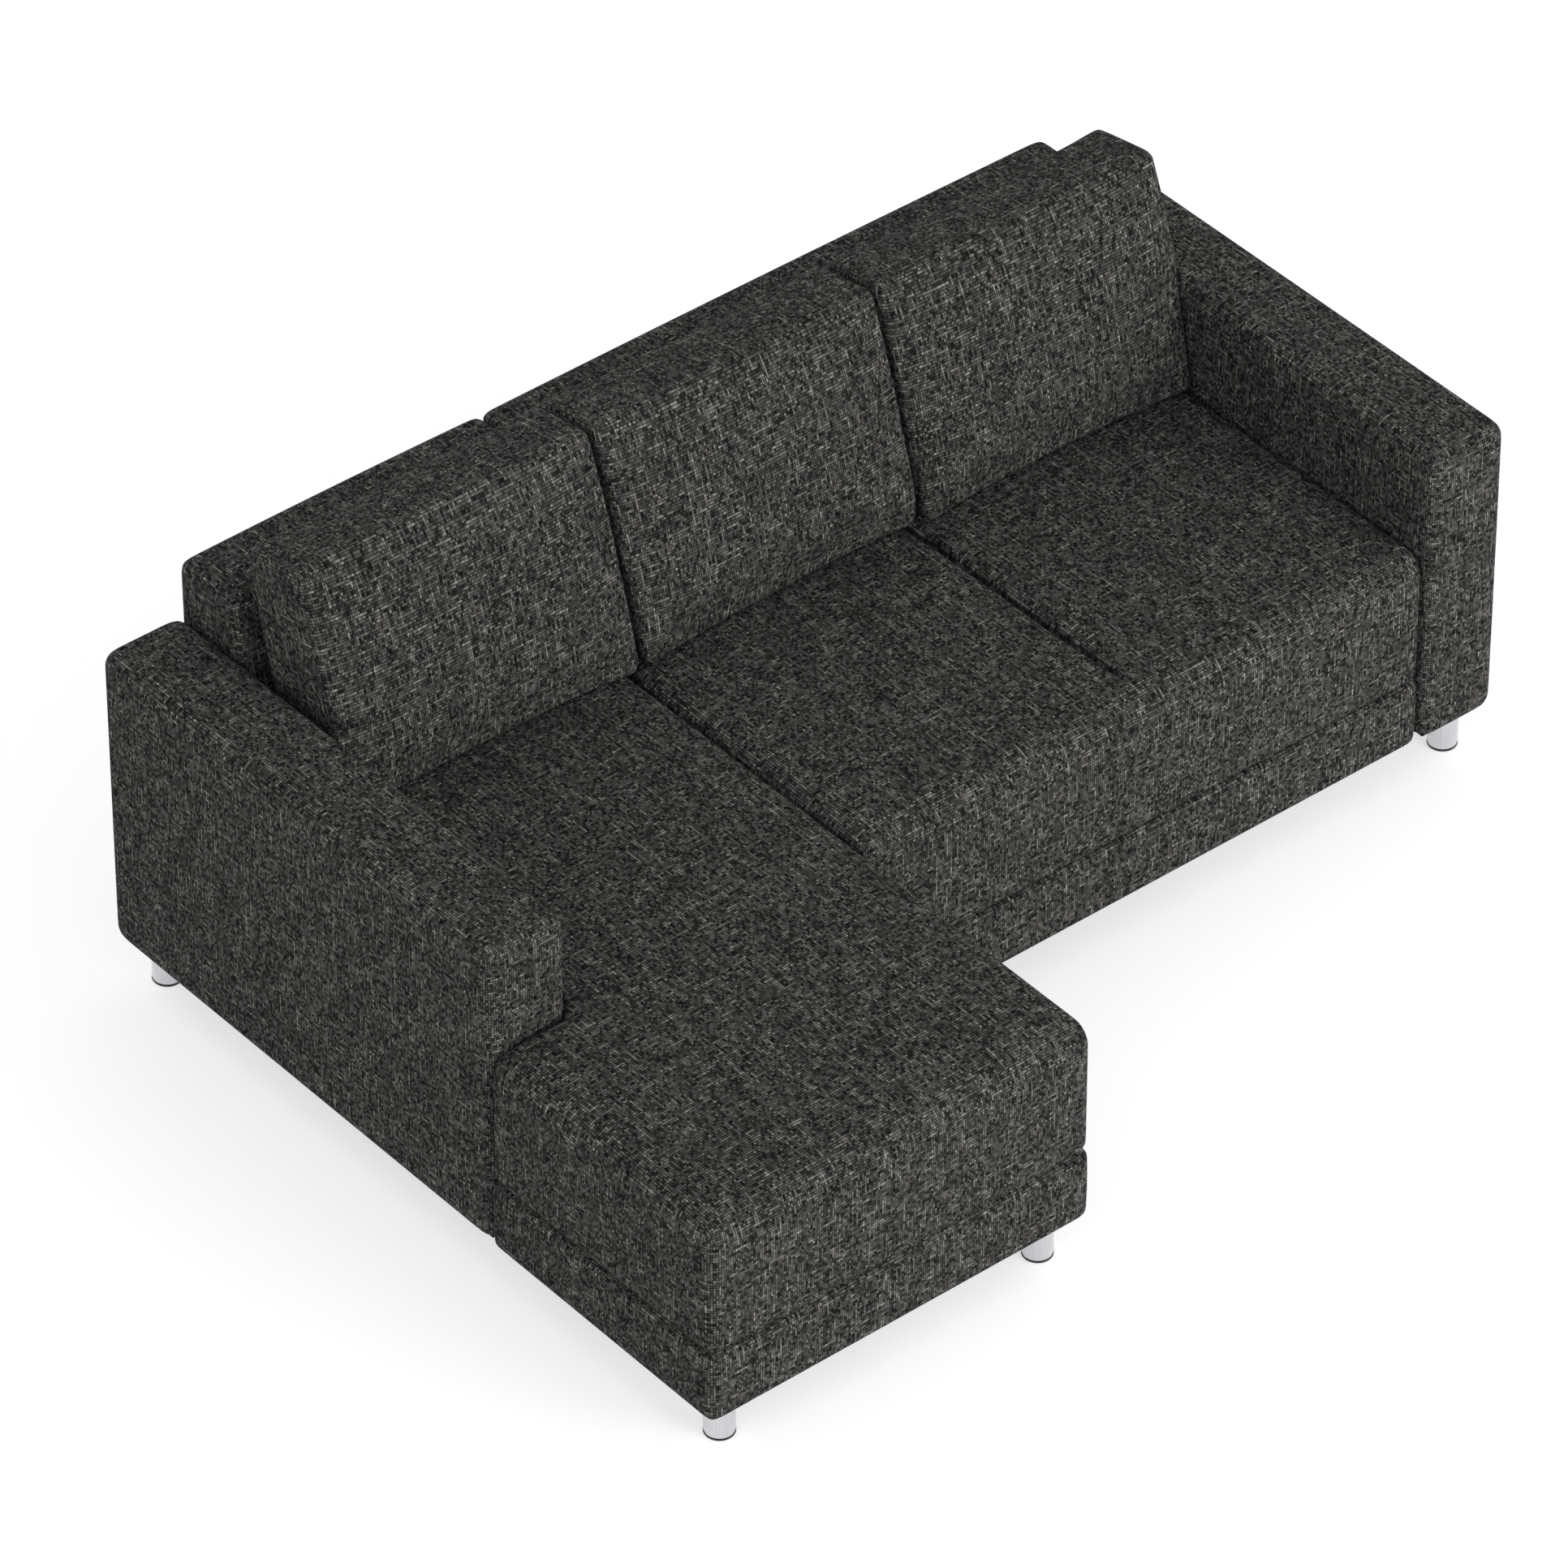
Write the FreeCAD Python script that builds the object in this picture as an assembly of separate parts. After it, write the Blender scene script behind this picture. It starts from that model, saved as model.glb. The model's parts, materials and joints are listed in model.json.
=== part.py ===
import FreeCAD, Part
import os
from math import acos, cos, hypot, pi, radians, sin, tan
from FreeCAD import Vector

# Corner sofa in two modules that stand side by side on eight chrome legs.
# X runs along the back, Y points to the rear and Z up. The origin lies on the floor
# under the middle of the whole sofa.

# Overall sizes
sofa_width = 2070.0
chaise_depth = 1490.0
chaise_width = 751.0
arm_depth = 962.0
arm_width = 158.0
arm_height = 653.0
back_height = 754.0
back_proud = 4.0
module_gap = 3.0
seat_setback = 6.0
seam_height = 211.0
seat_height = 460.0

# Fabric, padding and the room left between neighbouring pieces
cover_thickness = 2.5
fit = 0.3
lip_width = 20.0
lining_thickness = 0.8
foam_ease = 0.3

# Legs
leg_height = 80.0
leg_diameter = 50.0
leg_wall = 1.5
leg_top_thickness = 3.0
leg_inset_x = 60.0
leg_inset_y = 54.0
rear_leg_inset = 61.0
glide_ring = 3.5
glide_plug_depth = 12.0
glide_slack = 0.3
stud_diameter = 8.0
stud_slack = 0.2
insert_diameter = 13.0
insert_length = 32.0
leg_block_height = 45.0
leg_block_side = 62.0

# Base of each seat
border_wall = 14.0
border_corner_radius = 18.0
border_bottom_radius = 14.0
border_top_radius = 3.0
board_thickness = 18.0
frame_top = 322.0
cross_rail_drop = 40.0
cross_rail_thickness = 25.0
strap_width = 80.0
strap_thickness = 2.0
strap_pitch = 200.0
strap_edge_margin = 34.0
strap_slack = 0.1
strap_hold = 3.0

# Seat cushions
seat_crown = 8.0
seat_side_swell = 3.0
seat_front_radius = 48.0
seat_side_radius = 38.0
chaise_inner_radius = 24.0
seat_joint_radius = 28.0
seat_arm_radius = 14.0
seat_plan_radius = 22.0
seat_shoulder = 140.0
seat_shoulder_drop = 6.0
seat_groove_depth = 12.0
seat_groove_width = 26.0
seat_groove_stop = 66.0
seat_groove_end_depth = 0.6
seat_groove_flank_share = 0.16
seat_groove_bend_share = 0.32

# Arms
arm_radius = 28.0
arm_bottom_radius = 12.0
arm_foam_side = 18.0
arm_foam_top = 25.0
arm_panel_thickness = 4.0
arm_post_depth = 42.0
arm_top_rail = 24.0

# Backs
back_top_thickness = 137.0
back_lean = 14.0
back_knee_height = 424.0
back_rear_radius = 28.0
back_front_radius = 36.0
back_end_radius = 20.0
back_split_radius = 10.0
back_foam_front = 38.0
back_foam_rear = 8.0
back_foam_top = 22.0
back_foam_end = 10.0
back_upright = 25.0
back_rail = 25.0
back_strap_width = 60.0
back_strap_count = 4
back_strap_margin = 50.0
left_back_upright_count = 4
right_back_upright_count = 5

# Loose back cushions. They share the room between the arms, with a gap between each two.
cushion_gap = 5.5
cushion_left_arm_gap = 20.0
cushion_right_arm_gap = 1.0
cushion_height = 404.0
cushion_foot = 155.0
cushion_top = 137.0
cushion_top_tilt = 10.5
cushion_rear_foot = 244.0
cushion_corner_radius = 20.0
cushion_front_swell = 30.0
cushion_top_swell = 7.0
cushion_end_draw = 9.0
cushion_skin = 14.0
cushion_core_ease = 0.3
cushion_seat_gap = 0.3
cushion_back_gap = 0.3

# Each loose cushion is drawn in towards its two ends. At each station, as a share of half
# the width, the crown is this share of the full crown and the outline is drawn in by this
# share of the draw.
cushion_station_shares = (0.0, 0.40, 0.72, 0.94, 1.0)
cushion_crown_shares = (1.0, 0.95, 0.82, 0.64, 0.50)
cushion_draw_shares = (0.0, 0.0, 0.05, 0.20, 0.80)

# Chords along the foot, rear, top and front of a cushion's section, and round each corner
cushion_side_chord_counts = (1, 4, 3, 5)
cushion_turn_chord_count = 3

# Bolts between the units and plates under the split between the modules
bolt_diameter = 8.0
bolt_head_diameter = 18.0
bolt_head_height = 5.0
bolt_head_room = 1.5
bolt_slack = 0.3
bolt_height = 74.0
bolt_grip = 30.0
plate_length = 76.0
plate_width = 60.0
plate_thickness = 3.0
plate_screw_diameter = 5.0
plate_screw_length = 30.0
plate_screw_head = 10.0
plate_screw_head_height = 2.5
plate_front_inset = 160.0
plate_rear_inset = 120.0
plate_screw_spacing = 34.0

rod_side_count = 8

# Cutters run past what they cut by this much
overrun = 5.0

# Places along X
x_left = -sofa_width / 2
x_right = sofa_width / 2
x_left_arm = x_left + arm_width
x_right_arm = x_right - arm_width
x_split_left = x_left + chaise_width
x_split_right = x_split_left + module_gap

# Places along Y: the rear of the arms, of the backs, and the fronts
y_back = (chaise_depth + back_proud) / 2
y_rear = y_back - back_proud
y_arm_front = y_rear - arm_depth
y_chaise_front = y_rear - chaise_depth
y_seat_front = y_arm_front + seat_setback

# Heights: underside of the timber frames, and of the fabric below them
frame_bottom = leg_height + lining_thickness
cover_bottom = frame_bottom - cover_thickness

# The backs lean: their front is thin at the top and runs down and forward to the knee,
# then drops straight behind the seats
lean_slope = tan(radians(back_lean))


def back_front_at(height):
    return y_back - back_top_thickness - (back_height - height) * lean_slope


y_knee = back_front_at(back_knee_height)
y_seat_rear = y_knee - fit


# A place in one of the three upright or flat planes, from two coordinates in it
def on_front(y):
    return lambda u, v: Vector(u, y, v)


def on_side(x):
    return lambda u, v: Vector(x, u, v)


def on_plan(z):
    return lambda u, v: Vector(u, v, z)


# Where a corner's rounding starts, its middle, and where it ends
def rounding(before, corner, after, radius):
    to_before = (before[0] - corner[0], before[1] - corner[1])
    to_after = (after[0] - corner[0], after[1] - corner[1])
    length_before = hypot(*to_before)
    length_after = hypot(*to_after)
    a = (to_before[0] / length_before, to_before[1] / length_before)
    b = (to_after[0] / length_after, to_after[1] / length_after)
    half_angle = acos(a[0] * b[0] + a[1] * b[1]) / 2
    bisector = (a[0] + b[0], a[1] + b[1])
    bisector_length = hypot(*bisector)
    bisector = (bisector[0] / bisector_length, bisector[1] / bisector_length)
    depth = radius / sin(half_angle) - radius
    trim = radius / tan(half_angle)
    start = (corner[0] + a[0] * trim, corner[1] + a[1] * trim)
    middle = (corner[0] + bisector[0] * depth, corner[1] + bisector[1] * depth)
    end = (corner[0] + b[0] * trim, corner[1] + b[1] * trim)
    return start, middle, end


# A closed wire from corners given as (u, v, radius, swell), anticlockwise. The swell is
# how far the side that leaves the corner bows outwards. A faceted outline has a flat from
# end to end of each rounding in place of the arc.
def outline(corners, place, faceted=False):
    count = len(corners)
    turns = []
    for i, corner in enumerate(corners):
        radius = corner[2]
        if radius > 0:
            turns.append(rounding(corners[i - 1], corner, corners[(i + 1) % count], radius))
        else:
            turns.append((corner[:2], None, corner[:2]))
    edges = []
    for i, (start, middle, end) in enumerate(turns):
        if middle is not None and faceted:
            edges.append(Part.LineSegment(place(*start), place(*end)).toShape())
        elif middle is not None:
            edges.append(Part.Arc(place(*start), place(*middle), place(*end)).toShape())
        following = turns[(i + 1) % count][0]
        swell = corners[i][3]
        if swell:
            run = (following[0] - end[0], following[1] - end[1])
            length = hypot(*run)
            bow = ((end[0] + following[0]) / 2 + run[1] / length * swell,
                   (end[1] + following[1]) / 2 - run[0] / length * swell)
            edges.append(Part.Arc(place(*end), place(*bow), place(*following)).toShape())
        else:
            edges.append(Part.LineSegment(place(*end), place(*following)).toShape())
    return Part.Wire(edges)


def prism(wire, direction):
    return Part.Face(wire).extrude(direction)


def front_prism(corners, y0, y1, faceted=False):
    # corners run anticlockwise in X and Z
    return prism(outline(corners, on_front(y0), faceted), Vector(0, y1 - y0, 0))


def side_prism(corners, x0, x1, faceted=False):
    return prism(outline(corners, on_side(x0), faceted), Vector(x1 - x0, 0, 0))


def plan_prism(corners, z0, z1, faceted=False):
    return prism(outline(corners, on_plan(z0), faceted), Vector(0, 0, z1 - z0))


def block(x0, x1, y0, y1, z0, z1):
    return Part.makeBox(x1 - x0, y1 - y0, z1 - z0, Vector(x0, y0, z0))


def rectangle(u0, u1, v0, v1, low_radius=0, high_radius=0):
    return [(u0, v0, low_radius, 0), (u1, v0, low_radius, 0),
            (u1, v1, high_radius, 0), (u0, v1, high_radius, 0)]


# A box with its upright, top and bottom edges rounded, or with one flat on each
def soft_block(x0, x1, y0, y1, z0, z1, upright, top, bottom, faceted=False):
    front = front_prism(rectangle(x0, x1, z0, z1, bottom, top), y0, y1, faceted)
    side = side_prism(rectangle(y0, y1, z0, z1, bottom, top), x0, x1, faceted)
    plan = plan_prism(rectangle(x0, x1, y0, y1, upright, upright), z0, z1, faceted)
    return front.common(side).common(plan)


# The polygon inside another one, each side moved in by its own distance
def inset(points, distances):
    count = len(points)
    moved = []
    for i, (u, v) in enumerate(points):
        next_u, next_v = points[(i + 1) % count]
        length = hypot(next_u - u, next_v - v)
        along = ((next_u - u) / length, (next_v - v) / length)
        moved.append(((u - along[1] * distances[i], v + along[0] * distances[i]), along))
    inner = []
    for i in range(count):
        (pu, pv), (au, av) = moved[i - 1]
        (qu, qv), (bu, bv) = moved[i]
        cross = au * bv - av * bu
        step = ((qu - pu) * bv - (qv - pv) * bu) / cross
        inner.append((pu + au * step, pv + av * step))
    return inner


def plain(points):
    return [(u, v, 0, 0) for u, v in points]


def cylinder(x, y, z0, z1, diameter):
    return Part.makeCylinder(diameter / 2, z1 - z0, Vector(x, y, z0))


# Hidden fasteners and their bores repeat many times, so each has eight flats. The
# diameter is measured over the corners.
def ring(u, v, diameter):
    turn = 2 * pi / rod_side_count
    return [(u + diameter / 2 * cos((i + 0.5) * turn), v + diameter / 2 * sin((i + 0.5) * turn), 0, 0)
            for i in range(rod_side_count)]


def rod_x(x0, x1, y, z, diameter):
    return side_prism(ring(y, z, diameter), x0, x1)


def rod_y(x, y0, y1, z, diameter):
    return front_prism(ring(x, z, diameter), y0, y1)


def rod_z(x, y, z0, z1, diameter):
    return plan_prism(ring(x, y, diameter), z0, z1)


def cut_all(solid, cutters):
    for cutter in cutters:
        solid = solid.cut(cutter)
    return solid


parts = {}


def save(name, solids):
    parts.setdefault(name, []).extend(solids)


# The legs: four under each module
y_rear_legs = y_rear - rear_leg_inset
left_leg_places = [
    (x_left + leg_inset_x, y_rear_legs),
    (x_left + leg_inset_x, y_chaise_front + leg_inset_y),
    (x_split_left - leg_inset_x, y_chaise_front + leg_inset_y),
    (x_split_left - leg_inset_x, y_rear_legs),
]
right_leg_places = [
    (x_split_right + leg_inset_x, y_rear_legs),
    (x_split_right + leg_inset_x, y_seat_front + leg_inset_y),
    (x_right - leg_inset_x, y_arm_front + leg_inset_y),
    (x_right - leg_inset_x, y_rear_legs),
]
block_top = frame_bottom + leg_block_height
insert_top = frame_bottom + insert_length


# A chromed tube, open below and closed on top by a disc that its stud stands on
def leg(x, y):
    tube = cylinder(x, y, glide_ring, leg_height, leg_diameter)
    return tube.cut(cylinder(x, y, glide_ring - overrun, leg_height - leg_top_thickness,
                             leg_diameter - 2 * leg_wall))


# A glide: a disc as wide as the leg and a ribbed plug up its bore
def glide(x, y):
    disc = cylinder(x, y, 0, glide_ring, leg_diameter)
    plug_diameter = leg_diameter - 2 * leg_wall - 2 * glide_slack
    return disc.fuse(rod_z(x, y, glide_ring, glide_ring + glide_plug_depth, plug_diameter))


def stud(x, y):
    return rod_z(x, y, leg_height, insert_top, stud_diameter)


# A threaded sleeve in the timber over each leg
def insert(x, y):
    sleeve = rod_z(x, y, frame_bottom, insert_top, insert_diameter)
    return sleeve.cut(rod_z(x, y, frame_bottom - overrun, insert_top + overrun, stud_diameter + stud_slack))


# What passes up through the lining and into the timber at each leg
def stud_bore(x, y):
    return rod_z(x, y, cover_bottom - overrun, insert_top + fit, insert_diameter + stud_slack)


all_leg_places = left_leg_places + right_leg_places
stud_bores = [stud_bore(x, y) for x, y in all_leg_places]
save("left_legs", [leg(x, y) for x, y in left_leg_places])
save("right_legs", [leg(x, y) for x, y in right_leg_places])
save("leg_glides", [glide(x, y) for x, y in all_leg_places])
save("leg_studs", [stud(x, y) for x, y in all_leg_places])
save("leg_inserts", [insert(x, y) for x, y in all_leg_places])

# Bolts that hold the arms and backs to the seats and to each other. Each runs along one
# axis from a head inside one frame to the timber of the next unit.
bolt_bore = bolt_diameter + bolt_slack
bolt_z = frame_bottom + bolt_height
inner_wall = border_wall + board_thickness


def bolt_x(x_head, x_tip, y):
    away = 1 if x_tip > x_head else -1
    shank = rod_x(min(x_head, x_tip), max(x_head, x_tip), y, bolt_z, bolt_diameter)
    x_cap = x_head - away * bolt_head_height
    head = rod_x(min(x_head, x_cap), max(x_head, x_cap), y, bolt_z, bolt_head_diameter)
    return shank.fuse(head)


def bolt_y(x, y_head, y_tip):
    shank = rod_y(x, y_head, y_tip, bolt_z, bolt_diameter)
    return shank.fuse(rod_y(x, y_head - bolt_head_height, y_head, bolt_z, bolt_head_diameter))


# The frame of an arm, seen in plan: its core inside cover and foam
arm_wrap = cover_thickness + fit + arm_foam_side + foam_ease
arm_core_top = arm_height - cover_thickness - fit - arm_foam_top - foam_ease
arm_core_y0 = y_arm_front + arm_wrap
arm_core_y1 = y_rear - arm_wrap
arm_post_middle = (arm_core_y0 + arm_core_y1) / 2
arm_post_starts = [arm_core_y0, arm_post_middle - arm_post_depth / 2, arm_core_y1 - arm_post_depth]
arm_bolt_ys = [start + arm_post_depth / 2 for start in arm_post_starts]
# The front bolt's head stands just behind the front board of the seat
arm_bolt_ys[0] = y_seat_front + inner_wall + bolt_head_diameter / 2 + bolt_head_room

back_wrap_end = cover_thickness + fit + back_foam_end + foam_ease
back_core_z1 = back_height - cover_thickness - fit - back_foam_top - foam_ease


def bolt_bore_x(x_head, x_tip, y):
    away = 1 if x_tip > x_head else -1
    low, high = sorted((x_head - away * overrun, x_tip + away * fit))
    return rod_x(low, high, y, bolt_z, bolt_bore)


# Heads stand inside the seat frames, or inside the backs at the rear end of each arm
arm_reach = arm_wrap + arm_panel_thickness + bolt_grip
left_arm_bolts = [
    (x_left_arm + fit + inner_wall, x_left_arm - arm_reach, arm_bolt_ys[0]),
    (x_left_arm + fit + inner_wall, x_left_arm - arm_reach, arm_bolt_ys[1]),
    (x_left_arm + fit + back_wrap_end + back_upright, x_left_arm - arm_reach, arm_bolt_ys[2]),
]
right_arm_bolts = [
    (x_right_arm - fit - inner_wall, x_right_arm + arm_reach, arm_bolt_ys[0]),
    (x_right_arm - fit - inner_wall, x_right_arm + arm_reach, arm_bolt_ys[1]),
    (x_right_arm - fit - back_wrap_end - back_upright, x_right_arm + arm_reach, arm_bolt_ys[2]),
]
arm_bolts = left_arm_bolts + right_arm_bolts


# Where the uprights of a back start, from end to end of it
def upright_starts(x0, x1, count):
    first = x0 + back_wrap_end
    last = x1 - back_wrap_end - back_upright
    return [first + (last - first) * i / (count - 1) for i in range(count)]


left_uprights = upright_starts(x_left_arm + fit, x_split_left, left_back_upright_count)
right_uprights = upright_starts(x_split_right, x_right_arm - fit, right_back_upright_count)
back_bolt_head = y_seat_rear - inner_wall
back_bolt_tip = y_knee + cover_thickness + fit + back_foam_front + foam_ease + bolt_grip
back_bolts = [start + back_upright / 2 for start in left_uprights[1:-1] + right_uprights[1:-1]]

bolt_bores = [bolt_bore_x(*bolt) for bolt in arm_bolts]
bolt_bores += [rod_y(x, back_bolt_head - overrun, back_bolt_tip + fit, bolt_z, bolt_bore) for x in back_bolts]
save("unit_bolts", [bolt_x(*bolt) for bolt in arm_bolts])
save("unit_bolts", [bolt_y(x, back_bolt_head, back_bolt_tip) for x in back_bolts])

# Flat steel plates and screws that hold the two modules together from below
plate_x = (x_split_left + x_split_right) / 2
plate_top = cover_bottom
plate_ys = [y_seat_front + plate_front_inset, y_seat_rear - plate_rear_inset]
screw_reach = border_wall + board_thickness / 2
screw_places = []
for plate_y in plate_ys:
    for screw_x in (x_split_left - screw_reach, x_split_right + screw_reach):
        for screw_y in (plate_y - plate_screw_spacing / 2, plate_y + plate_screw_spacing / 2):
            screw_places.append((screw_x, screw_y))
screw_top = plate_top - plate_thickness + plate_screw_length
screw_bores = [rod_z(x, y, plate_top - plate_thickness - overrun, screw_top + fit,
                     plate_screw_diameter + bolt_slack) for x, y in screw_places]


def plate_screw(x, y):
    under = plate_top - plate_thickness
    head = rod_z(x, y, under - plate_screw_head_height, under, plate_screw_head)
    return head.fuse(rod_z(x, y, under, screw_top, plate_screw_diameter))


def joining_plate(y):
    plate = block(plate_x - plate_length / 2, plate_x + plate_length / 2,
                  y - plate_width / 2, y + plate_width / 2, plate_top - plate_thickness, plate_top)
    return cut_all(plate, screw_bores)


save("joining_plates", [joining_plate(y) for y in plate_ys])
save("joining_screws", [plate_screw(x, y) for x, y in screw_places])


# One arm: a timber frame between two panels, a foam wrap and a fabric cover
def arm(side, x0, x1):
    def body(shrink, z0, z1, faceted):
        radius = arm_radius - shrink
        low_radius = arm_bottom_radius - cover_thickness if faceted else arm_bottom_radius
        return soft_block(x0 + shrink, x1 - shrink, y_arm_front + shrink, y_rear - shrink, z0, z1,
                          radius, radius, low_radius, faceted)

    cover = body(0, cover_bottom, arm_height, False)
    cavity = body(cover_thickness, frame_bottom, arm_height - cover_thickness, True)
    opening = block(x0 + lip_width, x1 - lip_width, y_arm_front + lip_width, y_rear - lip_width,
                    cover_bottom - overrun, frame_bottom + overrun)
    save(side + "_arm_cover", [cut_all(cover.cut(cavity).cut(opening), bolt_bores)])

    foam = body(cover_thickness + fit, frame_bottom, arm_height - cover_thickness - fit, True)
    pocket = block(x0 + arm_wrap - foam_ease, x1 - arm_wrap + foam_ease, arm_core_y0 - foam_ease,
                   arm_core_y1 + foam_ease, frame_bottom - overrun, arm_core_top + foam_ease)
    save(side + "_arm_foam", [cut_all(foam.cut(pocket), bolt_bores)])

    core_x0 = x0 + arm_wrap
    core_x1 = x1 - arm_wrap
    inner_x0 = core_x0 + arm_panel_thickness
    inner_x1 = core_x1 - arm_panel_thickness
    panels = [block(core_x0, inner_x0, arm_core_y0, arm_core_y1, frame_bottom, arm_core_top),
              block(inner_x1, core_x1, arm_core_y0, arm_core_y1, frame_bottom, arm_core_top)]
    save(side + "_arm_panels", [cut_all(panel, bolt_bores) for panel in panels])
    rails = [block(inner_x0, inner_x1, arm_core_y0, arm_core_y1, frame_bottom, block_top),
             block(inner_x0, inner_x1, arm_core_y0, arm_core_y1, arm_core_top - arm_top_rail, arm_core_top)]
    save(side + "_arm_rails", [cut_all(rail, stud_bores) for rail in rails])
    posts = [block(inner_x0, inner_x1, start, start + arm_post_depth, block_top, arm_core_top - arm_top_rail)
             for start in arm_post_starts]
    save(side + "_arm_posts", [cut_all(post, bolt_bores) for post in posts])
    lining = block(x0 + lip_width + fit, x1 - lip_width - fit, y_arm_front + lip_width + fit,
                   y_rear - lip_width - fit, frame_bottom - lining_thickness, frame_bottom)
    save(side + "_linings", [cut_all(lining, stud_bores)])


# The upright outline of a back, seen from the side, from the underside up: bottom, rear,
# top, leaning front, and the straight front behind the seat
back_outline = [(y_knee, cover_bottom), (y_back, cover_bottom), (y_back, back_height),
                (back_front_at(back_height), back_height), (y_knee, back_knee_height)]


def back_shape(low, rear, top, front):
    return inset(back_outline, [low, rear, top, front, front])


# One back: leaning uprights with rails between them, webbing, foam and a cover
def back(side, x0, x1, left_radius, right_radius, uprights):
    def body(shrink, z0, faceted):
        points = back_shape(z0 - cover_bottom, shrink, shrink, shrink)
        radii = [0, 0, back_rear_radius - shrink, back_front_radius - shrink, 0]
        view = [(u, v, radius, 0) for (u, v), radius in zip(points, radii)]
        solid = side_prism(view, x0 + shrink, x1 - shrink, faceted)
        y0, y1 = y_knee + shrink, y_back - shrink
        ends = [(x0 + shrink, z0, 0, 0), (x1 - shrink, z0, 0, 0),
                (x1 - shrink, back_height - shrink, right_radius - shrink, 0),
                (x0 + shrink, back_height - shrink, left_radius - shrink, 0)]
        plan = [(x0 + shrink, y0, 0, 0), (x1 - shrink, y0, 0, 0),
                (x1 - shrink, y1, right_radius - shrink, 0), (x0 + shrink, y1, left_radius - shrink, 0)]
        solid = solid.common(front_prism(ends, y0, y1, faceted))
        return solid.common(plan_prism(plan, z0, back_height, faceted))

    opening = block(x0 + lip_width, x1 - lip_width, y_knee + lip_width, y_back - lip_width,
                    cover_bottom - overrun, frame_bottom + overrun)
    cover = body(0, cover_bottom, False).cut(body(cover_thickness, frame_bottom, True)).cut(opening)
    save(side + "_back_cover", [cut_all(cover, bolt_bores)])

    skin = cover_thickness + fit
    foam = body(skin, frame_bottom, True)
    below = frame_bottom - cover_bottom
    pocket = back_shape(below - overrun, skin + back_foam_rear, skin + back_foam_top, skin + back_foam_front)
    end_pocket = back_wrap_end - foam_ease
    foam = foam.cut(side_prism(plain(pocket), x0 + end_pocket, x1 - end_pocket))
    save(side + "_back_foam", [cut_all(foam, bolt_bores)])

    front_inset = skin + back_foam_front + foam_ease
    core = back_shape(below, skin + back_foam_rear + foam_ease, skin + back_foam_top + foam_ease,
                      front_inset + strap_thickness)
    frames = [side_prism(plain(core), start, start + back_upright) for start in uprights]
    save(side + "_back_uprights", [cut_all(frame, bolt_bores) for frame in frames])
    rails = []
    for start, following in zip(uprights, uprights[1:]):
        bay = side_prism(plain(core), start + back_upright, following)
        low_rail = block(x0, x1, y_knee, y_back, frame_bottom, block_top)
        top_rail = block(x0, x1, y_knee, y_back, back_core_z1 - back_rail, back_height)
        rails.append(cut_all(bay.common(low_rail), stud_bores))
        rails.append(bay.common(top_rail))
    save(side + "_back_rails", rails)

    top_y, top_z = core[3]
    knee_y, knee_z = core[4]
    face = hypot(top_y - knee_y, top_z - knee_z)
    along = ((top_y - knee_y) / face, (top_z - knee_z) / face)
    out = (-along[1] * strap_thickness, along[0] * strap_thickness)
    step = (face - 2 * back_strap_margin - back_strap_width) / (back_strap_count - 1)
    straps = []
    for i in range(back_strap_count):
        low = back_strap_margin + i * step
        high = low + back_strap_width
        a = (knee_y + along[0] * low, knee_z + along[1] * low)
        b = (knee_y + along[0] * high, knee_z + along[1] * high)
        band = [a, b, (b[0] + out[0], b[1] + out[1]), (a[0] + out[0], a[1] + out[1])]
        straps.append(side_prism(plain(band), uprights[0], uprights[-1] + back_upright))
    save(side + "_back_webbing", straps)
    lining = block(x0 + lip_width + fit, x1 - lip_width - fit, y_knee + lip_width + fit,
                   y_back - lip_width - fit, frame_bottom - lining_thickness, frame_bottom)
    save(side + "_linings", [cut_all(lining, stud_bores)])


# The border of a seat: a padded wall round the base from the seam down, with a lip below
def border(side, plan):
    low_y = min(v for u, v in plan)
    high_y = max(v for u, v in plan)
    low_x = min(u for u, v in plan)
    high_x = max(u for u, v in plan)
    corners = [(u, v, border_corner_radius if v == low_y else 0, 0) for u, v in plan]
    wall = plan_prism(corners, cover_bottom, seam_height)
    radii = (border_bottom_radius, border_top_radius)
    front_view = rectangle(low_x, high_x, cover_bottom, seam_height, *radii)
    side_view = rectangle(low_y, high_y, cover_bottom, seam_height, *radii)
    wall = wall.common(front_prism(front_view, low_y, high_y))
    wall = wall.common(side_prism(side_view, low_x, high_x))
    hollow = plan_prism(plain(inset(plan, [border_wall] * len(plan))), frame_bottom, seam_height + overrun)
    opening = plan_prism(plain(inset(plan, [lip_width] * len(plan))), cover_bottom - overrun,
                         frame_bottom + overrun)
    save(side + "_border_cover", [cut_all(wall.cut(hollow).cut(opening), bolt_bores)])
    lining = plan_prism(plain(inset(plan, [lip_width + fit] * len(plan))),
                        frame_bottom - lining_thickness, frame_bottom)
    save(side + "_linings", [cut_all(lining, stud_bores + screw_bores)])


left_plan = [(x_left, y_chaise_front), (x_split_left, y_chaise_front), (x_split_left, y_seat_rear),
             (x_left_arm + fit, y_seat_rear), (x_left_arm + fit, y_arm_front - fit),
             (x_left, y_arm_front - fit)]
right_plan = [(x_split_right, y_seat_front), (x_right_arm - fit, y_seat_front),
              (x_right_arm - fit, y_seat_rear), (x_split_right, y_seat_rear)]
left_inner = inset(left_plan, [border_wall] * len(left_plan))
right_inner = inset(right_plan, [border_wall] * len(right_plan))

# Where the cross rails stand, as shares of the depth between the front and rear boards
left_cross_shares = (0.18, 0.51, 0.67, 0.90)
right_cross_shares = (0.25, 0.50, 0.75)


def board(x0, x1, y0, y1):
    return block(x0, x1, y0, y1, frame_bottom, frame_top)


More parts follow.
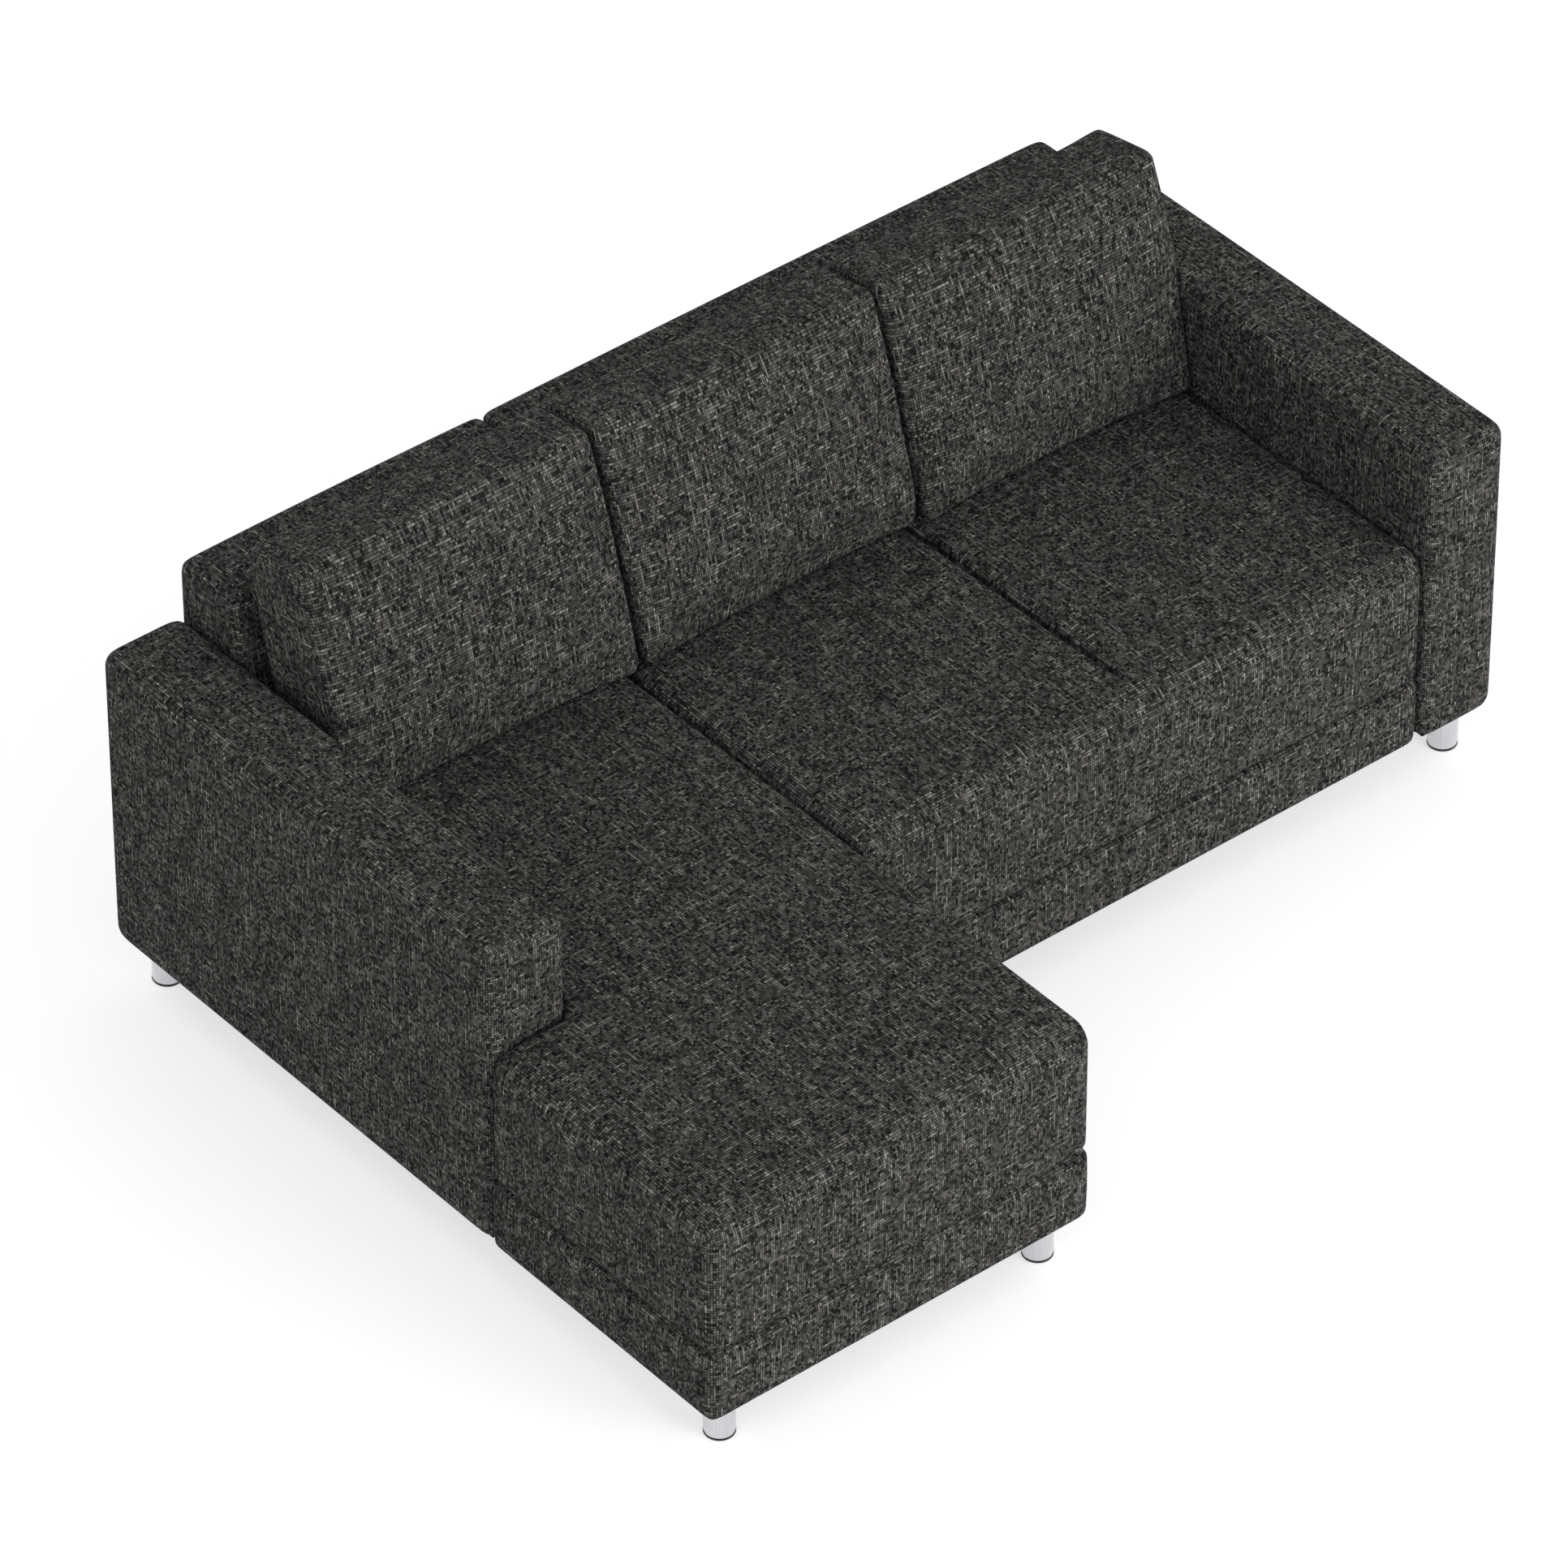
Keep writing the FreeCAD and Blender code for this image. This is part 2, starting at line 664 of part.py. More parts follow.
def cross_rail(x0, x1, y):
    return block(x0, x1, y - cross_rail_thickness / 2, y + cross_rail_thickness / 2,
                 frame_bottom, frame_top - cross_rail_drop)


def leg_block(x0, y0):
    solid = block(x0, x0 + leg_block_side, y0, y0 + leg_block_side, frame_bottom, block_top)
    return cut_all(solid, stud_bores)


frame_cutters = bolt_bores + screw_bores


# The base frame of the chaise goes round the front of the left arm
def left_frame():
    x_outer, y_front = left_inner[0]
    x_inner_right, y_inner_rear = left_inner[2]
    x_inner, y_step = left_inner[4]
    b = board_thickness
    sides = [board(x_outer, x_outer + b, y_front + b, y_step),
             board(x_inner, x_inner + b, y_step, y_inner_rear - b),
             board(x_inner_right - b, x_inner_right, y_front + b, y_inner_rear - b)]
    ends = [board(x_outer, x_inner_right, y_front, y_front + b),
            board(x_outer + b, x_inner + b, y_step - b, y_step),
            board(x_inner, x_inner_right, y_inner_rear - b, y_inner_rear)]
    save("left_base_side_boards", [cut_all(side, frame_cutters) for side in sides])
    save("left_base_end_boards", [cut_all(end, bolt_bores) for end in ends])
    y_first = y_front + b
    depth = y_inner_rear - b - y_first
    rails = []
    for share in left_cross_shares:
        y = y_first + depth * share
        x_start = x_outer + b if y < y_step - b else x_inner + b
        rails.append(cross_rail(x_start, x_inner_right - b, y))
    save("left_base_cross_rails", rails)
    save("left_leg_blocks", [leg_block(x_outer + b, y_front + b),
                             leg_block(x_inner_right - b - leg_block_side, y_front + b)])


def right_frame():
    x_start, y_front = right_inner[0]
    x_end, y_end = right_inner[2]
    b = board_thickness
    sides = [board(x_start, x_start + b, y_front + b, y_end - b),
             board(x_end - b, x_end, y_front + b, y_end - b)]
    ends = [board(x_start, x_end, y_front, y_front + b), board(x_start, x_end, y_end - b, y_end)]
    save("right_base_side_boards", [cut_all(side, frame_cutters) for side in sides])
    save("right_base_end_boards", [cut_all(end, bolt_bores) for end in ends])
    y_first = y_front + b
    depth = y_end - b - y_first
    save("right_base_cross_rails", [cross_rail(x_start + b, x_end - b, y_first + depth * share)
                                    for share in right_cross_shares])
    save("right_leg_blocks", [leg_block(x_start + b, y_front + b)])


# Straps side by side between two boards, as the places where each one starts
def spread(start, end):
    room = end - start - 2 * strap_edge_margin - strap_width
    count = max(1, int(room / strap_pitch + 1)) + 1 if room > strap_pitch / 2 else 1
    if count == 1:
        return [(start + end - strap_width) / 2]
    return [start + strap_edge_margin + room * i / (count - 1) for i in range(count)]


# Webbing over a base frame: straight straps from side to side, and straps from front to
# rear that pass over one and under the next
def cross_strap(x0, x1, y):
    return block(x0, x1, y, y + strap_width, frame_top, frame_top + strap_thickness)


def woven_strap(x, y0, y1, rows, over):
    rise = strap_thickness + strap_slack
    low = [(y0, frame_top), (y0 + board_thickness, frame_top)]
    for row in rows:
        level = frame_top + (rise if over else -rise)
        low += [(row - strap_hold, level), (row + strap_width + strap_hold, level)]
        over = not over
    low += [(y1 - board_thickness, frame_top), (y1, frame_top)]
    high = [(u, v + strap_thickness) for u, v in low]
    return side_prism(plain(low + high[::-1]), x, x + strap_width)


def left_webbing():
    b = board_thickness
    x_outer, y_front = left_inner[0]
    x_end, y_end = left_inner[2]
    x_inner, y_step = left_inner[4]
    front_rows = spread(y_front + b, y_step - b)
    rear_rows = spread(y_step, y_end - b)
    straps = [cross_strap(x_outer, x_end, y) for y in front_rows]
    straps += [cross_strap(x_inner, x_end, y) for y in rear_rows]
    side_starts = spread(x_outer + b, x_inner)
    straps += [woven_strap(x, y_front, y_step, front_rows, True) for x in side_starts]
    for i, x in enumerate(spread(x_inner + b, x_end - b)):
        straps.append(woven_strap(x, y_front, y_end, front_rows + rear_rows, i % 2 == 1))
    save("left_seat_webbing", straps)


def right_webbing():
    b = board_thickness
    x_start, y_front = right_inner[0]
    x_end, y_end = right_inner[2]
    rows = spread(y_front + b, y_end - b)
    straps = [cross_strap(x_start, x_end, y) for y in rows]
    for i, x in enumerate(spread(x_start + b, x_end - b)):
        straps.append(woven_strap(x, y_front, y_end, rows, i % 2 == 0))
    save("right_seat_webbing", straps)


# The loose cushions stand on a level strip along the rear of the seats
y_cushion_rear = y_back - cushion_rear_foot
y_cushion_front = y_cushion_rear - cushion_foot


# A seat cushion is what three outlines have in common: from the front, from the side and
# in plan. The top is level under the loose cushions and crowned in front of them. Left
# and right are each (swell, radius) of that side. Inner bodies are smaller all round by
# the shrink, with flat tops and faceted corners.
def seat_front_view(x0, x1, left, right, shrink, z0):
    left_swell, left_radius = left
    right_swell, right_radius = right
    u0 = x0 + left_swell + shrink
    u1 = x1 - right_swell - shrink
    if shrink:
        top = seat_height - shrink
        return [(u0, z0, 0, 0), (u1, z0, 0, 0), (u1, top, right_radius - shrink, 0),
                (u0, top, left_radius - shrink, 0)]
    top = seat_height + seat_crown
    low_top = top - seat_shoulder_drop
    return [(u0, z0, 0, 0), (u1, z0, 0, right_swell),
            (u1, low_top, right_radius, 0), (x1 - seat_shoulder, top, 0, 0),
            (x0 + seat_shoulder, top, 0, 0), (u0, low_top, left_radius, left_swell)]


def seat_side_view(y0, y1, shrink, z0):
    v0 = y0 + seat_side_swell + shrink
    v1 = y1 - shrink
    top = seat_height - shrink
    front_radius = seat_front_radius - shrink
    if shrink:
        return [(v0, z0, 0, 0), (v1, z0, 0, 0), (v1, top, seat_arm_radius - shrink, 0),
                (v0, top, front_radius, 0)]
    return [(v0, z0, 0, 0), (v1, z0, 0, 0), (v1, top, seat_arm_radius, 0),
            (y_cushion_front - overrun, top, 0, seat_crown), (v0, top, front_radius, seat_side_swell)]


def seat_body(plan, left, right, shrink, z0):
    x0, y0 = plan[0]
    x1, y1 = plan[2]
    faceted = shrink > 0
    inner = inset(plan, [shrink] * len(plan))
    corners = [(u, v, seat_plan_radius - shrink if outer_v == y0 else 0, 0)
               for (u, v), (_, outer_v) in zip(inner, plan)]
    solid = front_prism(seat_front_view(x0, x1, left, right, shrink, z0), y0, y1, faceted)
    solid = solid.common(side_prism(seat_side_view(y0, y1, shrink, z0), x0, x1, faceted))
    return solid.common(plan_prism(corners, z0, seat_height + seat_crown, faceted))


def left_seat_body(shrink, z0):
    outer_side = (seat_side_swell, seat_side_radius)
    inner_side = (seat_side_swell, chaise_inner_radius)
    return seat_body(left_plan, outer_side, inner_side, shrink, z0)


# The tucked groove between the two seats. It starts behind the loose cushions and fades
# out short of the front edge.
groove_x = (x_split_right + x_right_arm - fit) / 2


def groove_section(y, top, depth, width):
    flank = width * seat_groove_flank_share
    corners = [(groove_x, top - depth), (groove_x + flank, top - depth * seat_groove_bend_share),
               (groove_x + width / 2, top), (groove_x + width / 2, top + overrun + seat_crown),
               (groove_x - width / 2, top + overrun + seat_crown), (groove_x - width / 2, top),
               (groove_x - flank, top - depth * seat_groove_bend_share)]
    return outline(plain(corners), on_front(y))


def groove(extra):
    y_stop = y_seat_front + seat_groove_stop
    y_crown = (y_cushion_front + y_seat_front) / 2
    deep = seat_groove_depth + extra
    wide = seat_groove_width + 2 * extra
    return Part.makeLoft([
        groove_section(y_seat_rear + overrun, seat_height, deep, wide),
        groove_section(y_cushion_front, seat_height, deep, wide),
        groove_section(y_crown, seat_height + seat_crown, deep, wide),
        groove_section(y_stop - extra, seat_height, seat_groove_end_depth + extra, wide / 2),
    ], True, True)


def right_seat_body(shrink, z0):
    joint = (0, seat_joint_radius)
    at_arm = (0, seat_arm_radius)
    return seat_body(right_plan, joint, at_arm, shrink, z0).cut(groove(shrink))


# A seat's cover and the foam under it. The foam lies on the webbing and comes down
# outside the frame to the top of the border.
def seat(side, body, plan):
    cover = body(0, seam_height).cut(body(cover_thickness, seam_height - overrun))
    save(side + "_seat_cover", [cover])
    foam = body(cover_thickness + fit, seam_height)
    foam_bottom = frame_top + 2 * strap_thickness + strap_slack + foam_ease
    pocket = plan_prism(plain(inset(plan, [border_wall - foam_ease] * len(plan))),
                        seam_height - overrun, foam_bottom)
    save(side + "_seat_foam", [foam.cut(pocket)])


# A loose back cushion, seen from its end: foot, rear, top and front
cushion_z = seat_height + cushion_seat_gap
rear_rise = (cushion_height * sin(radians(back_lean)), cushion_height * cos(radians(back_lean)))
rear_top = (y_cushion_rear + rear_rise[0], cushion_z + rear_rise[1])
front_top = (rear_top[0] - cushion_top * cos(radians(cushion_top_tilt)),
             rear_top[1] + cushion_top * sin(radians(cushion_top_tilt)))
cushion_points = [(y_cushion_front, cushion_z), (y_cushion_rear, cushion_z), rear_top, front_top]
# The rear face bows until it rests against the back
cushion_rear_swell = (back_front_at(cushion_z) - y_cushion_rear) * cos(radians(back_lean)) - cushion_back_gap


# One section across the cushion, its arcs drawn as a few chords each
def cushion_section(x, crown_share, draw_share):
    draw = cushion_end_draw * draw_share
    points = inset(cushion_points, [0, draw, draw, draw])
    swells = [0, cushion_rear_swell, cushion_top_swell, cushion_front_swell]
    corners = [(u, v, cushion_corner_radius, swell * crown_share)
               for (u, v), swell in zip(points, swells)]
    run = []
    for i, edge in enumerate(outline(corners, on_side(x)).Edges):
        chords = cushion_side_chord_counts[i // 2] if i % 2 else cushion_turn_chord_count
        run += edge.discretize(Number=chords + 1)[:-1]
    return Part.makePolygon(run + run[:1])


sides = ("left", "middle", "right")
first_cushion_x = x_left_arm + cushion_left_arm_gap
cushion_room = x_right_arm - cushion_right_arm_gap - first_cushion_x
cushion_pitch = (cushion_room + cushion_gap) / len(sides)
cushion_half = (cushion_pitch - cushion_gap) / 2


def cushion(side, x):
    stations = list(zip(cushion_station_shares, cushion_crown_shares, cushion_draw_shares))
    run = [(-s, c, d) for s, c, d in stations[:0:-1]] + stations
    shell = Part.makeLoft([cushion_section(x + s * cushion_half, c, d) for s, c, d in run], True, True)
    skin = [cushion_skin] * 4
    x_room = cushion_half - cushion_skin
    room = side_prism(plain(inset(cushion_points, skin)), x - x_room, x + x_room)
    save(side + "_back_cushion_cover", [shell.cut(room)])
    inner = [cushion_skin + cushion_core_ease] * 4
    x_end = x_room - cushion_core_ease
    core = side_prism(plain(inset(cushion_points, inner)), x - x_end, x + x_end)
    save(side + "_back_cushion_core", [core])


arm("left", x_left, x_left_arm)
arm("right", x_right_arm, x_right)
back("left", x_left_arm + fit, x_split_left, back_end_radius, back_split_radius, left_uprights)
back("right", x_split_right, x_right_arm - fit, back_split_radius, back_end_radius, right_uprights)
border("left", left_plan)
border("right", right_plan)
left_frame()
right_frame()
left_webbing()
right_webbing()
seat("left", left_seat_body, left_plan)
seat("right", right_seat_body, right_plan)

for place, side in enumerate(sides):
    cushion(side, first_cushion_x + cushion_half + place * cushion_pitch)

os.makedirs("parts", exist_ok=True)
for name, solids in parts.items():
    shape = solids[0] if len(solids) == 1 else Part.makeCompound(solids)
    shape.exportStep("parts/" + name + ".step")
    print(name, len(shape.Solids), "solids, valid", shape.isValid())
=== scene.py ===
import json
from math import atan2, cos, pi, radians, sin, sqrt, tan

import bmesh
import bpy
from mathutils import Matrix, Vector
from mathutils.geometry import intersect_point_line


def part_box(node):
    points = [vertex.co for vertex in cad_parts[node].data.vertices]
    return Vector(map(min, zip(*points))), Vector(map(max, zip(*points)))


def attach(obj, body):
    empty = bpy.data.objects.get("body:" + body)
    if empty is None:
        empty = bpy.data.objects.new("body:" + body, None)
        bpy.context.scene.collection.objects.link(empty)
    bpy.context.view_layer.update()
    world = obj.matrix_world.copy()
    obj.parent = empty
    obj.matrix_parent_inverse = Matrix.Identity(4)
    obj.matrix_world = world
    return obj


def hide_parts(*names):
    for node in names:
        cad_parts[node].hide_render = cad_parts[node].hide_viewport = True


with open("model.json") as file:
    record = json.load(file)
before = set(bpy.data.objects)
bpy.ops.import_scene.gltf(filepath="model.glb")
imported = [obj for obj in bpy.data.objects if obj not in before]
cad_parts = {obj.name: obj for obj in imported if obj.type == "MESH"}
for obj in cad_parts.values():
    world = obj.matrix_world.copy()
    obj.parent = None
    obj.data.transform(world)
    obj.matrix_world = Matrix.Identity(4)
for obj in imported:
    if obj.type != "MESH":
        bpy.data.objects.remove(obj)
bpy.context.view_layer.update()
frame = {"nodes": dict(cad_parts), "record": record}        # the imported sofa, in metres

scene = bpy.context.scene


# Colours and nodes

def hexColour(text):
    parts = [int(text[i:i + 2], 16) / 255 for i in (1, 3, 5)]
    return (*[p / 12.92 if p <= 0.04045 else ((p + 0.055) / 1.055) ** 2.4 for p in parts], 1)


def addNode(tree, kind, settings=None, inputs=None):
    node = tree.nodes.new("ShaderNode" + kind)
    for name, value in (settings or {}).items():
        setattr(node, name, value)
    for socket, value in (inputs or {}).items():
        if isinstance(value, bpy.types.NodeSocket):
            tree.links.new(value, node.inputs[socket])
        else:
            node.inputs[socket].default_value = value
    return node


def newMaterial(name, shader):
    material = bpy.data.materials.new(name)
    material.use_nodes = True
    principled = material.node_tree.nodes["Principled BSDF"]
    for socket, value in shader.items():
        principled.inputs[socket].default_value = value
    return material, material.node_tree, principled


def setRamp(ramp, stops):
    # The first and the last stop take the two elements that a new ramp has
    for element, (position, colour) in zip(ramp.elements, (stops[0], stops[-1])):
        element.position = position
        element.color = colour
    for position, colour in stops[1:-1]:
        ramp.elements.new(position).color = colour


# Acrylic and polyester melange in a plain weave: black fibres mixed with light grey ones, in
# threads of uneven thickness, so bright slubs lie over dark gaps and every crossing differs.
# The real threads are too fine to show in the render, so they are drawn coarser
weave = {
    "warpPitch": 0.0042,        # threads that run up and down, really 2.9 mm apart
    "weftPitch": 0.0050,        # threads that run along the sofa, really 4.3 mm apart
    "waver": 0.5,               # how far a thread strays from its line
    "slubs": (0.055, 0.034),    # length of a thick bright place in a warp and in a weft thread
    "threadSpread": 1.7,        # how much neighbouring threads differ
    "toneStep": 0.0004,         # shortest change of tone along a thread
    "noiseStart": (0.25, 11.25),    # where warp and weft read the slub noise
    "noiseDetail": 3.0,
    "noiseRoughness": 0.6,
    "groundColour": "#050505",
    "yarnColour": "#d6d3ce",
    "threadTones": ((0.38, 0.10), (0.50, 0.14), (0.60, 0.24), (0.70, 0.42)),
    "fibreTones": (0.15, 1.85),     # the mixed fibres, from crossing to crossing
    "patch": 0.040,             # size of a lighter or darker cloud
    "cloudRange": (0.3, 0.7),
    "cloudTones": (0.96, 1.04),
    "thinness": 0.8,            # the lower, the narrower the dark gaps
    "interlace": 0.5,           # how plainly each thread goes over and under
    "roughness": 0.92,
    "gloss": 0.03,
    "relief": 0.0004,
    "reliefStrength": 0.7,
}


def melangeWeave():
    material, tree, principled = newMaterial("melangePlainWeave", {
        "Roughness": weave["roughness"], "Specular IOR Level": weave["gloss"]})
    uv = addNode(tree, "UVMap", {"uv_map": "weave"}).outputs["UV"]
    pitches = (weave["warpPitch"], weave["weftPitch"])
    lines = []
    threads = []
    for axis, pitch in enumerate(pitches):
        # The wave has 20 / (2 pi) bands in a metre at a scale of 1
        grid = addNode(tree, "TexWave",
                       {"wave_type": "BANDS", "bands_direction": "XY"[axis], "wave_profile": "SIN"},
                       {"Vector": uv, "Scale": 2 * pi / 20 / pitch, "Distortion": weave["waver"],
                        "Detail": 1.0, "Detail Scale": 0.5})
        step = [weave["toneStep"]] * 3
        step[axis] = pitch
        thread = addNode(tree, "VectorMath", {"operation": "SNAP"}, {0: uv, 1: step})
        stretch = [1 / weave["slubs"][axis]] * 3
        stretch[axis] = weave["threadSpread"] / pitch
        streaks = addNode(tree, "Mapping", {"vector_type": "POINT"},
                          {"Vector": thread.outputs[0], "Scale": stretch,
                           "Location": [weave["noiseStart"][axis]] * 3})
        slubs = addNode(tree, "TexNoise", {"noise_dimensions": "2D"},
                        {"Vector": streaks.outputs[0], "Scale": 1.0, "Detail": weave["noiseDetail"],
                         "Roughness": weave["noiseRoughness"]})
        tone = addNode(tree, "ValToRGB", {}, {"Fac": slubs.outputs["Fac"]})
        setRamp(tone.color_ramp, [(position, (level, level, level, 1))
                                  for position, level in weave["threadTones"]])
        thin = addNode(tree, "Math", {"operation": "POWER"},
                       {0: grid.outputs["Fac"], 1: weave["thinness"]})
        lines.append(grid.outputs["Fac"])
        threads.append(addNode(tree, "Math", {"operation": "MULTIPLY"},
                               {0: thin.outputs[0], 1: tone.outputs["Color"]}).outputs[0])
    # Over and under: in every other crossing the warp lies on top
    cells = addNode(tree, "Mapping", {},
                    {"Vector": uv, "Scale": (1 / pitches[0], 1 / pitches[1], 1)})
    crossing = addNode(tree, "TexChecker", {},
                       {"Vector": cells.outputs[0], "Scale": 1.0, "Color1": (1, 1, 1, 1),
                        "Color2": (0, 0, 0, 1)})
    onTop = addNode(tree, "Mix", {"data_type": "FLOAT"},
                    {"Factor": crossing.outputs["Fac"], "A": threads[0], "B": threads[1]})
    either = addNode(tree, "Math", {"operation": "MAXIMUM"}, {0: threads[0], 1: threads[1]})
    seen = addNode(tree, "Mix", {"data_type": "FLOAT"},
                   {"Factor": weave["interlace"], "A": either.outputs[0], "B": onTop.outputs[0]})
    clouds = addNode(tree, "TexNoise", {"noise_dimensions": "2D"},
                     {"Vector": uv, "Scale": 1 / weave["patch"], "Detail": weave["noiseDetail"],
                      "Roughness": weave["noiseRoughness"]})
    cloudTone = addNode(tree, "MapRange", {}, {
        "Value": clouds.outputs["Fac"],
        "From Min": weave["cloudRange"][0], "From Max": weave["cloudRange"][1],
        "To Min": weave["cloudTones"][0], "To Max": weave["cloudTones"][1]})
    # Each crossing shows another tone of the mixed fibres
    crossings = addNode(tree, "VectorMath", {"operation": "SNAP"}, {0: uv, 1: (*pitches, 1)})
    fibres = addNode(tree, "TexWhiteNoise", {"noise_dimensions": "2D"},
                     {"Vector": crossings.outputs[0]})
    fibreTone = addNode(tree, "MapRange", {}, {
        "Value": fibres.outputs["Value"],
        "To Min": weave["fibreTones"][0], "To Max": weave["fibreTones"][1]})
    mottle = addNode(tree, "Math", {"operation": "MULTIPLY"},
                     {0: fibreTone.outputs[0], 1: cloudTone.outputs[0]})
    share = addNode(tree, "Math", {"operation": "MULTIPLY", "use_clamp": True},
                    {0: seen.outputs[0], 1: mottle.outputs[0]})
    colour = addNode(tree, "Mix", {"data_type": "RGBA"},
                     {0: share.outputs[0], 6: hexColour(weave["groundColour"]),
                      7: hexColour(weave["yarnColour"])})
    tree.links.new(colour.outputs[2], principled.inputs["Base Color"])
    height = addNode(tree, "Mix", {"data_type": "FLOAT"},
                     {"Factor": crossing.outputs["Fac"], "A": lines[0], "B": lines[1]})
    bump = addNode(tree, "Bump", {}, {"Height": height.outputs[0], "Distance": weave["relief"],
                                      "Strength": weave["reliefStrength"]})
    tree.links.new(bump.outputs[0], principled.inputs["Normal"])
    return material


grain = {"detail": 4.0, "roughness": 0.6, "tones": (0.35, 0.65), "reliefStrength": 0.5}
even = (1, 1, 1)


def grainMaterial(name, low, high, shader, scale, stretch, relief, distortion=0.0):
    # Two tones over a noise of so many grains in a metre, with the same noise as relief
    material, tree, principled = newMaterial(name, shader)
    place = addNode(tree, "TexCoord").outputs["Object"]
    mapping = addNode(tree, "Mapping", {}, {"Vector": place, "Scale": stretch})
    noise = addNode(tree, "TexNoise", {}, {
        "Vector": mapping.outputs[0], "Scale": scale, "Detail": grain["detail"],
        "Roughness": grain["roughness"], "Distortion": distortion})
    tone = addNode(tree, "ValToRGB", {}, {"Fac": noise.outputs["Fac"]})
    setRamp(tone.color_ramp, list(zip(grain["tones"], (hexColour(low), hexColour(high)))))
    tree.links.new(tone.outputs["Color"], principled.inputs["Base Color"])
    bump = addNode(tree, "Bump", {}, {"Height": noise.outputs["Fac"], "Distance": relief,
                                      "Strength": grain["reliefStrength"]})
    tree.links.new(bump.outputs[0], principled.inputs["Normal"])
    return material


materials = {
    "upholstery": melangeWeave(),
    # Spunbond polypropylene, calendered: black, with a fibrous mottle
    "lining_cloth": grainMaterial("spunbondPolypropylene", "#0c0c0d", "#1c1c1e",
                                  {"Roughness": 0.85}, 420, even, 0.0002),
    # Polyether foam, cut: cream, with open cells of about 1.5 mm
    "foam": grainMaterial("cutPolyetherFoam", "#d9cfa4", "#efe7c4",
                          {"Roughness": 0.95}, 650, even, 0.0006),
    # Foam block with a fibre wrap: off-white, with soft tufts of about 8 mm
    "cushion_filling": grainMaterial("wrappedCushionFoam", "#dcdad2", "#f2f1ec",
                                     {"Roughness": 0.95}, 120, even, 0.001),
    # Elastic polypropylene webbing, woven: dark, with a mottle of 2 mm
    "webbing": grainMaterial("wovenElasticWebbing", "#1d1a17", "#38322b",
                             {"Roughness": 0.8}, 500, even, 0.0003),
    # Low density polyethylene, moulded: black with a soft gloss
    "glide_plastic": grainMaterial("mouldedPolyethylene", "#0b0b0b", "#121212",
                                   {"Roughness": 0.45}, 900, even, 0.00004),
    # Chrome plate on polished steel tube: near mirror, with faint lengthwise polish lines
    "chrome_legs": grainMaterial("polishedChromePlate", "#c6c6ca", "#d4d4d7",
                                 {"Metallic": 1.0, "Roughness": 0.09}, 900, (1, 1, 0.02), 0.000004),
    # Zinc plate on steel, passivated: dull silver with a cloudy spangle of about 6 mm
    "zinc_steel": grainMaterial("passivatedZincPlate", "#9a9b9d", "#c0c2c6",
                                {"Metallic": 1.0, "Roughness": 0.38}, 160, even, 0.00002),
    # Hardboard, pressed: brown with fibres of about 3 mm
    "board_panel": grainMaterial("pressedHardboard", "#6d4a2c", "#84603b",
                                 {"Roughness": 0.7}, 300, even, 0.0001),
    # Spruce, planed: pale with long grain
    "frame_timber": grainMaterial("planedSpruce", "#b98d57", "#dcb981",
                                  {"Roughness": 0.65}, 60, (0.15, 1, 1), 0.0003, 1.2),
}
for part in frame["record"]["subparts"]:
    node = frame["nodes"][part["node"]]
    node.data.materials.clear()
    node.data.materials.append(materials[part["material_slot"]])
print("materials: made", len(materials))


# Shaping tools

nearSide = 0.01         # an edge of a cage this near to a side of its box belongs to that side
roundingSteps = 8


def openMesh(piece):
    bm = bmesh.new()
    bm.from_mesh(piece.data)
    return bm


def closeMesh(bm, mesh):
    bm.to_mesh(mesh)
    bm.free()


def vertsOf(geometry):
    return [g for g in geometry if isinstance(g, bmesh.types.BMVert)]


def clamp(share):
    return max(0.0, min(1.0, share))


def bulge(share):
    # 0 at both ends of a side and 1 in the middle of it
    return max(0.0, 1 - (2 * share - 1) ** 2)


def newPiece(name, bm, slot):
    mesh = bpy.data.meshes.new(name)
    closeMesh(bm, mesh)
    piece = bpy.data.objects.new(name, mesh)
    scene.collection.objects.link(piece)
    mesh.materials.append(materials[slot])
    return piece


def settle(piece):
    # Applies the piece's modifiers
    evaluated = piece.evaluated_get(bpy.context.evaluated_depsgraph_get())
    made = bpy.data.meshes.new_from_object(evaluated)
    piece.modifiers.clear()
    worn = piece.data
    made.name = worn.name + "Mesh"
    piece.data = made
    bpy.data.meshes.remove(worn)


def boxPlan(low, high):
    return [(low.x, low.y), (high.x, low.y), (high.x, high.y), (low.x, high.y)]


def planCage(plan, low, high):
    # An upright block on a plan given anticlockwise
    bm = bmesh.new()
    base = bm.faces.new([bm.verts.new((x, y, low)) for x, y in plan])
    raised = bmesh.ops.extrude_face_region(bm, geom=[base])["geom"]
    bmesh.ops.translate(bm, verts=vertsOf(raised), vec=(0, 0, high - low))
    bmesh.ops.recalc_face_normals(bm, faces=bm.faces)
    return bm


def boxCage(low, high):
    bm = bmesh.new()
    middle = Matrix.Translation((low + high) / 2)
    bmesh.ops.create_cube(bm, size=1, matrix=middle @ Matrix.Diagonal((*(high - low), 1)))
    return bm


